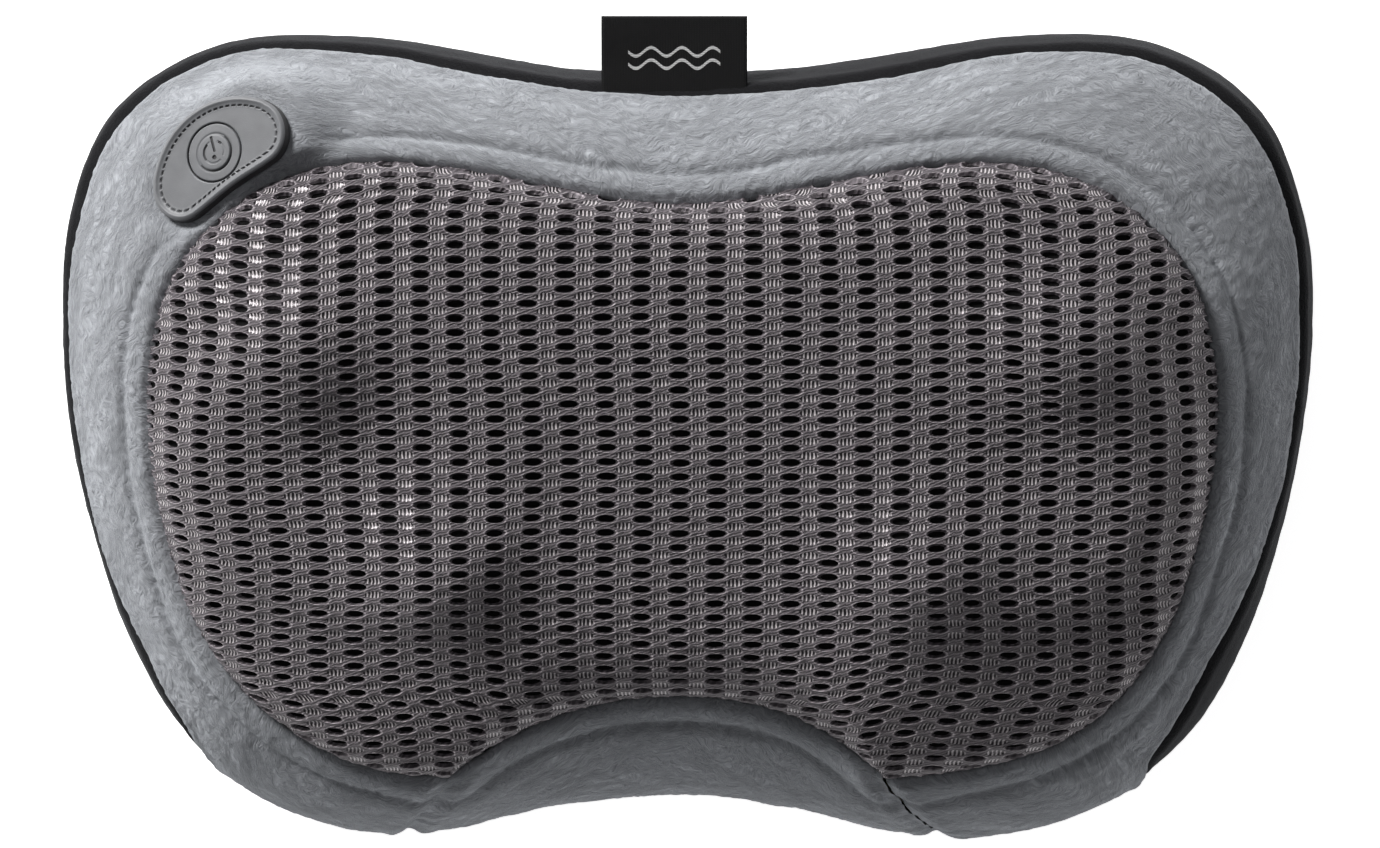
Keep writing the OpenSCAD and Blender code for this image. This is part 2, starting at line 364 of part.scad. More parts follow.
module node_axles_left() { color("silver") place() node_axles(-1); }
module node_axles_right() { color("silver") place() node_axles(1); }
module thrust_washers(s) { arm_frame(s) for (t = [-1, 1]) translate([t * arm_r, 0, 59.1]) difference() {
  cylinder(r = 7, h = 1.2, $fn = 48); translate([0, 0, -1]) cylinder(r = 4.05, h = 4, $fn = 48); } }
module thrust_washers_left() { color([0.9, 0.9, 0.9]) place() thrust_washers(-1); }
module thrust_washers_right() { color([0.9, 0.9, 0.9]) place() thrust_washers(1); }
module massage_node(s, t) { arm_frame(s) translate([t * arm_r, 0, ball_z]) difference() {
  intersection() { sphere(r = ball_r, $fn = 64); translate([0, 0, -15.2]) cylinder(r = 20, h = 40, $fn = 64); }
  translate([0, 0, -20]) cylinder(r = 4.06, h = 25.6, $fn = 48);
  for (z = [-5, 5]) translate([0, 0, z]) rotate_extrude($fn = 96) translate([ball_r + 0.1, 0]) circle(r = 1.1 + (ball_r - sqrt(ball_r * ball_r - 25)), $fn = 32);
} }
module node_left_upper() { color([0.8, 0.25, 0.2]) place() massage_node(-1, 1); }
module node_left_lower() { color([0.8, 0.25, 0.2]) place() massage_node(-1, -1); }
module node_right_upper() { color([0.8, 0.25, 0.2]) place() massage_node(1, 1); }
module node_right_lower() { color([0.8, 0.25, 0.2]) place() massage_node(1, -1); }

// Power and control --------------------------------------------------------------------
module battery_cells() { color([0.2, 0.45, 0.7]) place() for (s = [-1, 1]) translate([-111.5, s * 22, 20.4]) rotate([0, 90, 0]) {
  cylinder(r = 9.15, h = 65, $fn = 64); translate([0, 0, 65]) cylinder(r = 3, h = 1, $fn = 32); } }
module battery_holders() { color([0.1, 0.1, 0.1]) place() difference() {
  for (s = [-1, 1]) for (x = [-104, -60]) translate([x, s * 22 - 10, case_z + wall + 0.02]) cube([6, 20, 9]);
  for (s = [-1, 1]) translate([-120, s * 22, 20.4]) rotate([0, 90, 0]) cylinder(r = 9.18, h = 80, $fn = 64); } }
board_pts = [for (x = [61, 97]) for (y = [-39, -16]) [x, y]];
module control_board() { color([0.05, 0.35, 0.18]) place() difference() {
  translate([58, -42, 12.95]) cube([42, 29, 1.6]);
  for (p = board_pts) translate([p[0], p[1], 10]) cylinder(r = 1.3, h = 8, $fn = 32); } }
module board_components() { color([0.15, 0.15, 0.15]) place() translate([0, 0, 14.6]) {
  translate([66, -34, 0]) cube([9, 9, 1.6]);
  translate([79, -38, 0]) cube([12, 10, 10]);
  for (x = [68, 76]) translate([x, -19, 0]) cylinder(r = 3.4, h = 11, $fn = 32);
  translate([84, -24, 0]) cube([8, 5, 4.5]);
  for (i = [0:4]) translate([80 + 2.4 * i, -17, 0]) cube([1.2, 2, 0.6]); } }
module board_screws() { color("silver") place() for (p = board_pts) translate([p[0], p[1], 0]) { translate([0, 0, 9.6]) cylinder(r = 0.98, h = 5, $fn = 32);
  translate([0, 0, 14.6]) cylinder(r = 2, h = 1.2, $fn = 32); } }
jack_x = 161.2;
module charge_jack() { color([0.1, 0.1, 0.1]) place() translate([jack_x, 0, 20]) rotate([0, 90, 0]) {
  difference() { union() { translate([0, 0, -16]) cylinder(r = 4.8, h = 17, $fn = 64); translate([0, 0, -16]) cylinder(r = 5.7, h = 9, $fn = 64);
      cylinder(r = 6.6, h = 1.4, $fn = 64); }
    translate([0, 0, -9.5]) cylinder(r = jack_r, h = 20, $fn = 64); }
  translate([0, 0, -10]) cylinder(r = 1, h = 9.4, $fn = 32); } }

// Round wire along points, n sides
function unit(v) = v / norm(v);
module tube(P, r, n) { m = len(P); up = [0.13, 0.21, 0.97];
  skin([for (i = [0:m - 1]) let (t = unit(i == 0 ? P[1] - P[0] : i == m - 1 ? P[m - 1] - P[m - 2] : unit(P[i] - P[i - 1]) + unit(P[i + 1] - P[i])),
      u = unit(cross(t, up)), w = cross(t, u))
    [for (j = [0:n - 1]) P[i] + r * (cos(360 / n * j) * u + sin(360 / n * j) * w)]], false); }
module wire_leads() { color([0.7, 0.1, 0.1]) place() {
  tube([[7, 49.4, 30.6], [13.6, 49.2, 31], [14.6, 44, 31], [20, 39, 29.6], [34, 32, 27], [46, 24, 23], [56, 14, 19], [60, 2, 16.4], [63, -10, 16.2], [64, -15, 15.6]], 0.7, 8);
  tube([[-7, 49.4, 30.6], [-4, 49.7, 33], [4, 49.7, 37], [12, 47.4, 37], [17, 42, 34], [23, 41, 30.4], [36, 35, 27.4], [49, 26, 23], [59, 15, 19], [63.4, 2, 16.4], [66.4, -9, 16.2], [67.4, -15, 15.6]], 0.7, 8);
  for (s = [-1, 1]) tube([[s * 1.3 + 90, -15.2, 15.6], [98, -8 + s * 2, 17 + s], [110, -3 + s * 1.5, 19 + s], [126, s * 1.4, 20], [144.9, s * 1.6, 20]], 0.7, 8);
  tube([[-43.9, 22, 20.4], [-41, 16, 14], [-38, 2, 11.4], [-30, -9, 11], [-14, -14, 11], [14, -19.5, 11], [45, -23, 11.3], [54, -25, 15.2], [60, -26, 15.7]], 0.7, 8);
  tube([[-43.9, -22, 20.4], [-40, -24, 15], [-20, -27, 11], [0, -27.5, 11], [30, -28, 11], [52, -30, 15], [60, -30, 15.7]], 0.7, 8);
} }
module switch_cable() { color([0.15, 0.15, 0.15]) place()
  tube([[-114.6, 70.2, 62.6], [-112, 66, 56], [-106, 60, 46], [-103, 57, 33], [-101, 53, 27.4], [-97.5, 45.4, 27], [-94, 41, 27], [-84, 39.5, 27], [-60, 40, 26], [-46, 36, 22], [-41, 26, 14], [-34, 14, 12.2],
    [-22, 9.5, 12], [-10, 2, 12], [0, -8, 12], [14, -14.5, 12], [45, -19, 12.4], [54, -21, 15.2], [60, -22, 16.2]], 1.1, 8); }

back_panel();
side_gusset();
front_border_cover();
lower_center_panel();
mesh_panel();
inner_lining();
foam_surround();
back_foam_pad();
label_tag();
zipper_tape();
zipper_chain();
zipper_slider();
zipper_pull();
switch_badge();
power_button();
button_spring();
switch_housing();
switch_board();
tact_switch();
rear_housing();
front_housing();
housing_screws();
motor_can();
motor_end_cap();
motor_magnets();
motor_rotor();
motor_shaft();
motor_cradle();
worm();
idler_gear_left();
idler_gear_right();
idler_pins();
output_gear_left();
output_gear_right();
output_shaft_left();
output_shaft_right();
lower_bushings();
upper_bushings();
massage_arm_left();
massage_arm_right();
arm_screw_left();
arm_screw_right();
node_axles_left();
node_axles_right();
thrust_washers_left();
thrust_washers_right();
node_left_upper();
node_left_lower();
node_right_upper();
node_right_lower();
battery_cells();
battery_holders();
control_board();
board_components();
board_screws();
charge_jack();
wire_leads();
switch_cable();
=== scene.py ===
import bpy
import math
import numpy as np
from mathutils import Vector, Matrix


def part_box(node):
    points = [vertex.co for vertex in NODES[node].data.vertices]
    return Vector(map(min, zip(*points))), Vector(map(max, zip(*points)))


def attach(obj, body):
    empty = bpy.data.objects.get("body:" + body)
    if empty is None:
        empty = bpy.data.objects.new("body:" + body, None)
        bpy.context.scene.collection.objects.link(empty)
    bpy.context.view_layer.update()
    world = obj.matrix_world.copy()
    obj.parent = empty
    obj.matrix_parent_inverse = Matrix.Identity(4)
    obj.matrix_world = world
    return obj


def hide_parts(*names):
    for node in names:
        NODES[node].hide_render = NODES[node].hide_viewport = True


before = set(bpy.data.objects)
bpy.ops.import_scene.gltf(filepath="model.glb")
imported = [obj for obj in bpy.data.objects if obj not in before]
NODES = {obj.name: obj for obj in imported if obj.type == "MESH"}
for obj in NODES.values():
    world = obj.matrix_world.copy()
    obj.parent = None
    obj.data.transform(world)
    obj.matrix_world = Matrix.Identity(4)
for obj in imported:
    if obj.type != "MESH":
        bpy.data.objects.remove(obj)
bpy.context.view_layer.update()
scene = bpy.context.scene

# ----------------------------------------------------------------------------
# Lengths below are in millimetres in the pillow's own centred coordinates;
# SHIFT carries them into the row frame, where the tag's top edge is known.
# ----------------------------------------------------------------------------
TAG_TOP = 111.5
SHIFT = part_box("label_tag")[1][1] * 1000.0 - TAG_TOP
S_R = np.array([95.5, 98, 105, 120.5, 137, 149, 156, 158, 159.5, 163, 168, 173.5, 174, 161.5, 138, 117, 104, 97.5, 95])
M_R = np.array([80, 81, 87, 97.5, 109.5, 121, 129, 133, 134.5, 136.5, 138.5, 137.5, 128.5, 112.5, 94, 80, 71, 66, 64.5])
WAIST, EDGE, DOME, TOPA, BACK_IN = 38.0, 80.0, 97.0, 62.0, 14.0
ARM_X, ARM_R, BALL_Z, ARM_A = 79.0, 35.0, 76.0, 123.0
PX, PY = 9.34, 3.62     # pitch of the mesh fabric's holes


def half(a):
    m = a - 360.0 * np.floor((a + 90.0) / 360.0)
    return np.where(m > 90.0, 180.0 - m, m)


def curve(T, h):
    u = (h + 90.0) / 10.0
    i = np.clip(np.floor(u).astype(int), 0, 17)
    f = u - i
    mi = lambda k: np.where(k < 0, -k, np.where(k > 18, 36 - k, k))
    p0, p1, p2, p3 = T[mi(i - 1)], T[i], T[i + 1], T[mi(i + 2)]
    return 0.5 * (2 * p1 + (p2 - p0) * f + (2 * p0 - 5 * p1 + 4 * p2 - p3) * f * f + (3 * p1 - p0 - 3 * p2 + p3) * f ** 3)


def arc(h, c, r):
    b = -c * np.sin(np.radians(h))
    d = b * b - c * c + r * r
    ok = (b > 0) & (d > 0)
    return np.where(ok, b - np.sqrt(np.where(ok, d, 0)), 1000.0)


def smooth(x, a, b):
    t = np.clip((x - a) / (b - a), 0, 1)
    return t * t * (3 - 2 * t)


def S(a):
    h = half(np.asarray(a, float))
    q = h + 90
    w = smooth(q, 25, 33)
    c = curve(S_R, h)
    return np.where(q > 33, c, arc(h, 302.3, 206.8) * (1 - w) + c * w)


def M(a):
    h = half(np.asarray(a, float))
    return np.minimum(curve(M_R, h), arc(h, 156.0, 93.0))


def low(a):
    return half(np.asarray(a, float)) + 90


SEAM_IN = 4.0


def seam_v(a):
    a = np.asarray(a, float)
    t = (a + 180.0) % 360.0 - 180.0
    extra = 1.1 * smooth(t, -30, 0) * smooth(t, 95, 50)
    extra = extra + 5.2 * np.exp(-((t + 24.0) / 11.0) ** 2)
    extra = extra + 1.6 * np.exp(-((t + 156.0) / 12.0) ** 2)
    A = (S(a) - M(a)) / (1 - math.cos(math.radians(TOPA)))
    w = 1 + np.degrees(np.arccos(1 - (SEAM_IN + extra) / A)) / TOPA
    right = (np.cos(np.radians(a)) > 0)
    rise = np.where(right, smooth(low(a), 49, 57), smooth(low(a), 48, 62))
    return 0.85 + (w - 0.85) * rise


def side(a, v, t=0.0):
    """Point of the pillow's side at direction a; v is 0 at the back, 1 at the widest line, 2 at the mesh edge."""
    a = np.asarray(a, float)
    v = np.asarray(v, float)
    s = S(a)
    p = np.radians(90 * (1 - np.clip(v, 0, 1)))
    n = np.hypot(WAIST * np.cos(p), BACK_IN * np.sin(p))
    r0 = s - BACK_IN * (1 - np.cos(p)) - t * WAIST * np.cos(p) / n
    z0 = WAIST * (1 - np.sin(p)) + t * BACK_IN * np.sin(p) / n
    f = np.radians(TOPA * np.clip(v - 1, 0, 1))
    A = (s - M(a)) / (1 - math.cos(math.radians(TOPA)))
    B = (EDGE - WAIST) / math.sin(math.radians(TOPA))
    m = np.hypot(B * np.cos(f), A * np.sin(f))
    r1 = s - A * (1 - np.cos(f)) - t * B * np.cos(f) / m
    z1 = WAIST + B * np.sin(f) - t * A * np.sin(f) / m
    up = v > 1
    r = np.where(up, r1, r0)
    z = np.where(up, z1, z0)
    c, s_ = np.cos(np.radians(a)), np.sin(np.radians(a))
    return np.stack([r * c, r * s_, z], -1)


def ring_z(x, y, reach):
    d = np.hypot(np.abs(x) - ARM_X, y)
    e = np.where(d < 35, 0, d - 35)
    return np.where(e < reach, BALL_Z + np.sqrt(np.maximum(reach * reach - e * e, 0)) - 4 * np.exp(-d * d / 160), 0)


def bump(x, y, a):
    dx = np.abs(x) - ARM_X + ARM_R * math.cos(math.radians(a))
    dy = y - ARM_R * math.sin(math.radians(a))
    return np.exp(-(dx * dx + dy * dy) / 420)


def front_z(x, y, low_by=0.0, reach=21.0, swell_h=8.6):
    a = np.degrees(np.arctan2(y, x))
    rho = np.hypot(x, y) / M(a)
    rr = np.minimum(rho, 1)
    dome = EDGE + (DOME - EDGE) * (1 - rr ** 5) ** 0.45 - low_by
    ring = ring_z(x, y, reach)
    z = 2 * np.log(np.exp((dome - 60) / 2) + np.exp((ring - 60) / 2)) + 60
    z = z + swell_h * (bump(x, y, ARM_A) + bump(x, y, ARM_A + 180)) * (1 - rr ** 6) ** 0.5
    return z - np.maximum(rho - 1, 0) * M(a) * 0.9


# value noise ------------------------------------------------------------------
def _hash(ix, iy, iz, seed):
    h = (ix * 374761393 + iy * 668265263 + iz * 2147483647 + seed * 974634777) & 0xFFFFFFFF
    h = ((h ^ (h >> 13)) * 1274126177) & 0xFFFFFFFF
    h = (h ^ (h >> 16)) & 0xFFFFFFFF
    return h / 4294967295.0


def vnoise(x, y, z=0.0, seed=0):
    x, y, z = np.broadcast_arrays(np.asarray(x, float), np.asarray(y, float), np.asarray(z, float))
    ix, iy, iz = np.floor(x).astype(np.int64), np.floor(y).astype(np.int64), np.floor(z).astype(np.int64)
    fx, fy, fz = x - ix, y - iy, z - iz
    fx, fy, fz = (f * f * (3 - 2 * f) for f in (fx, fy, fz))
    out = 0
    for i in (0, 1):
        for j in (0, 1):
            for k in (0, 1):
                w = (fx if i else 1 - fx) * (fy if j else 1 - fy) * (fz if k else 1 - fz)
                out = out + w * _hash(ix + i, iy + j, iz + k, seed)
    return out * 2 - 1


# mesh helpers --------------------------------------------------------------------
def new_mesh(name, verts_mm, faces, mats, smooth_on=True, uv=None, mat_idx=None, local=False):
    """verts in centred millimetres; faces a list of index tuples or an (n, 3 or 4) array."""
    v = np.asarray(verts_mm, float).copy()
    if not local:
        v[:, 1] += SHIFT
    v = v * 0.001
    me = bpy.data.meshes.new(name)
    if isinstance(faces, np.ndarray):
        nf, k = faces.shape
        loops = faces.ravel()
        starts = np.arange(nf) * k
        totals = np.full(nf, k)
    else:
        totals = np.array([len(f) for f in faces])
        loops = np.concatenate([np.asarray(f) for f in faces])
        starts = np.concatenate([[0], np.cumsum(totals)[:-1]])
        nf = len(faces)
    me.vertices.add(len(v))
    me.vertices.foreach_set("co", v.astype(np.float32).ravel())
    me.loops.add(len(loops))
    me.loops.foreach_set("vertex_index", loops.astype(np.int32))
    me.polygons.add(nf)
    me.polygons.foreach_set("loop_start", starts.astype(np.int32))
    me.polygons.foreach_set("loop_total", totals.astype(np.int32))
    me.polygons.foreach_set("use_smooth", np.full(nf, smooth_on))
    for m in (mats if isinstance(mats, (list, tuple)) else [mats]):
        me.materials.append(m)
    if mat_idx is not None:
        me.polygons.foreach_set("material_index", np.asarray(mat_idx, dtype=np.int32))
    me.update(calc_edges=True)
    if uv is not None:
        layer = me.uv_layers.new(name="UVMap")
        layer.data.foreach_set("uv", np.asarray(uv, float)[loops].astype(np.float32).ravel())
    me.validate(clean_customdata=False)
    o = bpy.data.objects.new(name, me)
    scene.collection.objects.link(o)
    return o


def settle(P, share=1.0):
    """The sewn-in asymmetry of the real cover, added to finished points."""
    P = np.array(P, float)
    x, y = P[..., 0], P[..., 1]
    P[..., 0] = x - share * 7.4 * np.exp(-((x - 58) / 36.0) ** 2 - ((y + 92) / 30.0) ** 2)
    P[..., 1] = y + share * 2.0 * np.exp(-((np.abs(x) - 82) / 40.0) ** 2 - ((y - 70) / 14.0) ** 2)
    return P


def grid_faces(nr, nc, wrap_r=False, wrap_c=False):
    r = np.arange(nr if wrap_r else nr - 1)
    c = np.arange(nc if wrap_c else nc - 1)
    R, C = np.meshgrid(r, c, indexing="ij")
    a = R * nc + C
    b = R * nc + (C + 1) % nc
    d = ((R + 1) % nr) * nc + C
    e = ((R + 1) % nr) * nc + (C + 1) % nc
    return np.stack([a, b, e, d], -1).reshape(-1, 4)


def grid_normals(P):
    """Unit normals of a (rows, cols, 3) grid of points."""
    du = np.gradient(P, axis=0)
    dv = np.gradient(P, axis=1)
    n = np.cross(du, dv)
    return n / np.maximum(np.linalg.norm(n, axis=-1, keepdims=True), 1e-9)


def ride(o, body="cushion", rep=()):
    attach(o, body)
    if rep:
        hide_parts(*rep)
    return o


# materials -------------------------------------------------------------------------
class Mat:
    def __init__(self, name, color=(0.5, 0.5, 0.5), rough=0.6, **sock):
        self.m = bpy.data.materials.new(name)
        self.m.use_nodes = True
        self.t = self.m.node_tree
        self.n, self.l = self.t.nodes, self.t.links
        self.b = next(x for x in self.n if x.type == "BSDF_PRINCIPLED")
        self.b.inputs["Base Color"].default_value = (*color, 1)
        self.b.inputs["Roughness"].default_value = rough
        for k, v in sock.items():
            self.b.inputs[k.replace("_", " ")].default_value = v
        self.normal = None

    def add(self, kind, **props):
        x = self.n.new(kind)
        for k, v in props.items():
            setattr(x, k, v)
        return x

    def link(self, a, b):
        self.l.new(a, b)

    def coords(self, kind="Object", scale=(1, 1, 1), rot=(0, 0, 0), loc=(0, 0, 0)):
        if kind == "UV":
            tc = self.add("ShaderNodeUVMap", uv_map="UVMap")
            out = tc.outputs["UV"]
        else:
            tc = self.add("ShaderNodeTexCoord")
            out = tc.outputs[kind]
        mp = self.add("ShaderNodeMapping")
        mp.inputs["Scale"].default_value = scale
        mp.inputs["Rotation"].default_value = rot
        mp.inputs["Location"].default_value = loc
        self.link(out, mp.inputs["Vector"])
        return mp.outputs["Vector"]

    def noise(self, vec, scale, detail=3, rough=0.55, distortion=0.0):
        x = self.add("ShaderNodeTexNoise")
        x.inputs["Scale"].default_value = scale
        x.inputs["Detail"].default_value = detail
        x.inputs["Roughness"].default_value = rough
        x.inputs["Distortion"].default_value = distortion
        self.link(vec, x.inputs["Vector"])
        return x.outputs["Fac"]

    def voronoi(self, vec, scale, feature="F1", out="Distance", rand=1.0):
        x = self.add("ShaderNodeTexVoronoi", feature=feature)
        x.inputs["Scale"].default_value = scale
        x.inputs["Randomness"].default_value = rand
        self.link(vec, x.inputs["Vector"])
        return x.outputs[out]

    def wave(self, vec, scale, direction="X", profile="SIN", distortion=0.0, kind="BANDS"):
        x = self.add("ShaderNodeTexWave", wave_type=kind, wave_profile=profile)
        if kind == "BANDS":
            x.bands_direction = direction
        x.inputs["Scale"].default_value = scale
        x.inputs["Distortion"].default_value = distortion
        self.link(vec, x.inputs["Vector"])
        return x.outputs["Fac"]

    def math(self, op, a, b=None, c=None):
        x = self.add("ShaderNodeMath", operation=op)
        for i, v in enumerate((a, b, c)):
            if v is None:
                continue
            if isinstance(v, (int, float)):
                x.inputs[i].default_value = v
            else:
                self.link(v, x.inputs[i])
        return x.outputs[0]

    def ramp(self, fac, stops, interp="LINEAR"):
        x = self.add("ShaderNodeValToRGB")
        x.color_ramp.interpolation = interp
        e = x.color_ramp.elements
        while len(e) < len(stops):
            e.new(0.5)
        for k, (p, c) in enumerate(stops):
            e[k].position = p
            e[k].color = (*c, 1) if len(c) == 3 else c
        self.link(fac, x.inputs["Fac"])
        return x.outputs["Color"]

    def mix(self, fac, a, b, blend="MIX"):
        x = self.add("ShaderNodeMix", data_type="RGBA", blend_type=blend)
        for i, v in ((0, fac), (6, a), (7, b)):
            if isinstance(v, (int, float)):
                x.inputs[i].default_value = v
            elif isinstance(v, tuple):
                x.inputs[i].default_value = (*v, 1)
            else:
                self.link(v, x.inputs[i])
        return x.outputs[2]

    def bump(self, height, strength=0.5, dist=0.001):
        x = self.add("ShaderNodeBump")
        x.inputs["Strength"].default_value = strength
        x.inputs["Distance"].default_value = dist
        self.link(height, x.inputs["Height"])
        if self.normal is not None:
            self.link(self.normal, x.inputs["Normal"])
        self.normal = x.outputs["Normal"]
        self.link(self.normal, self.b.inputs["Normal"])
        return self

    def color(self, out):
        self.link(out, self.b.inputs["Base Color"])
        return self

    def rough(self, out):
        self.link(out, self.b.inputs["Roughness"])
        return self


def scaled(c, k):
    return tuple(min(1.0, x * k) for x in c)


def mat_plush(name, base):
    """Short-pile plush: leaning tufts in streaks, a painted sheen (paler colour) at the tips and painted shade (darker
    colour) in the hollows, patches where the nap is brushed.
    """
    m = Mat(name, base, 0.9, Sheen_Weight=0.35, Sheen_Roughness=0.4, Specular_IOR_Level=0.15)
    m.b.inputs["Sheen Tint"].default_value = (0.86, 0.9, 0.96, 1)
    uv = m.coords("UV", scale=(1, 1, 1))
    warp = m.add("ShaderNodeTexNoise")
    warp.inputs["Scale"].default_value = 0.05
    warp.inputs["Detail"].default_value = 3
    m.link(uv, warp.inputs["Vector"])
    wv = m.add("ShaderNodeVectorMath", operation="MULTIPLY_ADD")
    m.link(warp.outputs["Color"], wv.inputs[0])
    wv.inputs[1].default_value = (26, 26, 0)
    m.link(uv, wv.inputs[2])
    mp = m.add("ShaderNodeMapping", vector_type="POINT")
    mp.inputs["Rotation"].default_value = (0, 0, math.radians(24))
    mp.inputs["Scale"].default_value = (0.36, 1.05, 1)
    m.link(wv.outputs[0], mp.inputs["Vector"])
    streak = m.noise(mp.outputs[0], 1.35, 4, 0.62, 0.6)
    fine = m.noise(mp.outputs[0], 3.8, 3, 0.62, 0.3)
    patch = m.noise(uv, 0.05, 3, 0.5)
    h = m.math("ADD", m.math("MULTIPLY", streak, 0.72), m.math("MULTIPLY", fine, 0.38))
    # colour follows the tufts' bump height: darker in the hollows as painted shade, paler at the tips as painted sheen
    tuft_tone_painted_shade_and_sheen = m.ramp(h, [(0.36, scaled(base, 0.5)), (0.49, scaled(base, 0.9)), (0.58, scaled(base, 1.08)), (0.72, scaled(base, 1.38))])
    c2 = m.mix(m.math("MULTIPLY", m.math("SUBTRACT", patch, 0.38), 1.0), tuft_tone_painted_shade_and_sheen, scaled(base, 0.9))
    m.color(c2)
    m.bump(h, 0.9, 0.0011)
    return m.m


def mat_blackfuzz(name, base=(0.0085, 0.0085, 0.0095)):
    m = Mat(name, base, 0.95, Sheen_Weight=0.12, Sheen_Roughness=0.5, Specular_IOR_Level=0.08)
    m.b.inputs["Sheen Tint"].default_value = (0.6, 0.62, 0.66, 1)
    co = m.coords("Object", scale=(1000, 1000, 1000))
    a = m.noise(co, 1.5, 4, 0.65, 0.4)
    b = m.noise(co, 0.12, 2, 0.5)
    m.color(m.mix(b, m.ramp(a, [(0.3, scaled(base, 0.5)), (0.6, base), (0.8, scaled(base, 2.2))]), scaled(base, 1.25), "MIX"))
    m.bump(a, 0.6, 0.0006)
    return m.m


def mat_mesh_yarn(name):
    """Knitted air mesh: webs of slanting filament yarn round the open holes, their rims painted paler as painted
    highlight, and short upright loops across the closed holes between them, the loops painted pale as painted highlight
    and the gaps between them near-black as painted shade."""
    base = (0.070, 0.061, 0.069)
    m = Mat(name, base, 0.4, Specular_IOR_Level=1.0, Sheen_Weight=0.0)
    m.b.inputs["Specular Tint"].default_value = (1.0, 0.93, 0.97, 1)
    uv = m.coords("UV")
    sep = m.add("ShaderNodeSeparateXYZ")
    m.link(uv, sep.inputs[0])
    wob = m.noise(uv, 0.8, 2, 0.5)
    wobc = m.math("SUBTRACT", wob, 0.5)

    def cell(out, pitch, off):
        f = m.math("FRACT", m.math("ADD", m.math("DIVIDE", out, pitch), off))
        return m.math("MULTIPLY", m.math("SUBTRACT", f, 0.5), pitch)

    def soft(v, lo, hi):
        x = m.add("ShaderNodeMapRange", interpolation_type="SMOOTHSTEP")
        x.inputs["From Min"].default_value = lo
        x.inputs["From Max"].default_value = hi
        m.link(v, x.inputs["Value"])
        return x.outputs["Result"]

    def oval(p, q, rx, ry):
        return m.math("SQRT", m.math("ADD", m.math("POWER", m.math("DIVIDE", p, rx), 2), m.math("POWER", m.math("DIVIDE", q, ry), 2)))

    U, V = sep.outputs["X"], sep.outputs["Y"]
    pc, qc = cell(U, PX, 0.0), cell(V, PY, 0.0)
    po, qo = cell(U, PX, 0.5), cell(V, PY, 0.5)
    ec = oval(pc, qc, 2.35, 0.92)
    eo = oval(po, qo, 2.45, 0.98)
    closed = soft(m.math("ADD", ec, m.math("MULTIPLY", wobc, 0.3)), 1.12, 0.82)
    # upright loops in the closed hole
    loops = m.math("SINE", m.math("MULTIPLY_ADD", pc, 2 * math.pi / 0.98, m.math("MULTIPLY", wobc, 3.0)))
    lm = soft(loops, -0.25, 0.55)
    # webs: slanting strands
    slant = m.math("SINE", m.math("MULTIPLY_ADD", m.math("MULTIPLY_ADD", po, -0.36, V), 2 * math.pi / 0.78, m.math("MULTIPLY", wobc, 5.0)))
    st = m.math("MULTIPLY_ADD", slant, 0.5, 0.5)
    # the rim round each open hole is painted paler: painted highlight
    rim = m.math("SUBTRACT", 1.0, soft(m.math("ABSOLUTE", m.math("SUBTRACT", eo, 1.2)), 0.0, 0.22))
    fil = m.noise(m.coords("UV", scale=(2.6, 3.4, 1)), 1.5, 4, 0.7, 0.4)
    web = m.math("ADD", m.math("MULTIPLY", st, 0.34), m.math("ADD", m.math("MULTIPLY", fil, 0.62), m.math("MULTIPLY", rim, 0.42)))
    web_tone_with_rim_highlight = m.ramp(web, [(0.22, scaled(base, 0.14)), (0.52, base), (0.78, (0.2, 0.178, 0.195)), (1.0, (0.42, 0.385, 0.405))])
    # loops painted pale as painted highlight, the gaps between them painted near-black as painted shade
    loop_highlight_and_gap_shade = m.ramp(lm, [(0.0, (0.004, 0.0035, 0.004)), (0.5, (0.11, 0.1, 0.11)), (1.0, (0.50, 0.465, 0.48))])
    m.color(m.mix(closed, web_tone_with_rim_highlight, loop_highlight_and_gap_shade))
    webh = m.math("MULTIPLY_ADD", web, 0.8, 0.25)
    looph = m.math("MULTIPLY_ADD", lm, 1.0, -0.35)
    mx = m.add("ShaderNodeMix", data_type="FLOAT")
    m.link(closed, mx.inputs[0])
    m.link(webh, mx.inputs[2])
    m.link(looph, mx.inputs[3])
    m.rough(m.math("MULTIPLY_ADD", fil, 0.3, 0.24))
    m.bump(mx.outputs[0], 1.0, 0.0008)
    return m.m


# near-black floor and lower wall of each open hole in the mesh: painted shade in the holes
def mat_hole_shade(name):
    m = Mat(name, (0.004, 0.0035, 0.004), 0.9, Specular_IOR_Level=0.1)
    co = m.coords("Object", scale=(1000, 1000, 1000))
    a = m.noise(co, 2.5, 2, 0.6)
    m.color(m.ramp(a, [(0.4, (0.002, 0.002, 0.002)), (0.75, (0.012, 0.011, 0.012))]))
    return m.m


def mat_plastic(name, base, rough=0.45, grain=0.15, gscale=3.0, spec=0.5, dust=0.12):
    """Moulded plastic: fine spark-eroded grain, faint flow variation."""
    m = Mat(name, base, rough, Specular_IOR_Level=spec)
    co = m.coords("Object", scale=(1000, 1000, 1000))
    g = m.noise(co, gscale, 3, 0.6)
    f = m.noise(co, 0.05, 3, 0.5)
    m.color(m.mix(m.math("MULTIPLY", f, 0.6), scaled(base, 0.88), scaled(base, 1.0 + dust)))
    m.rough(m.math("MULTIPLY_ADD", g, 0.16, max(0.05, rough - 0.08)))
    m.bump(g, grain, 0.0003)
    return m.m


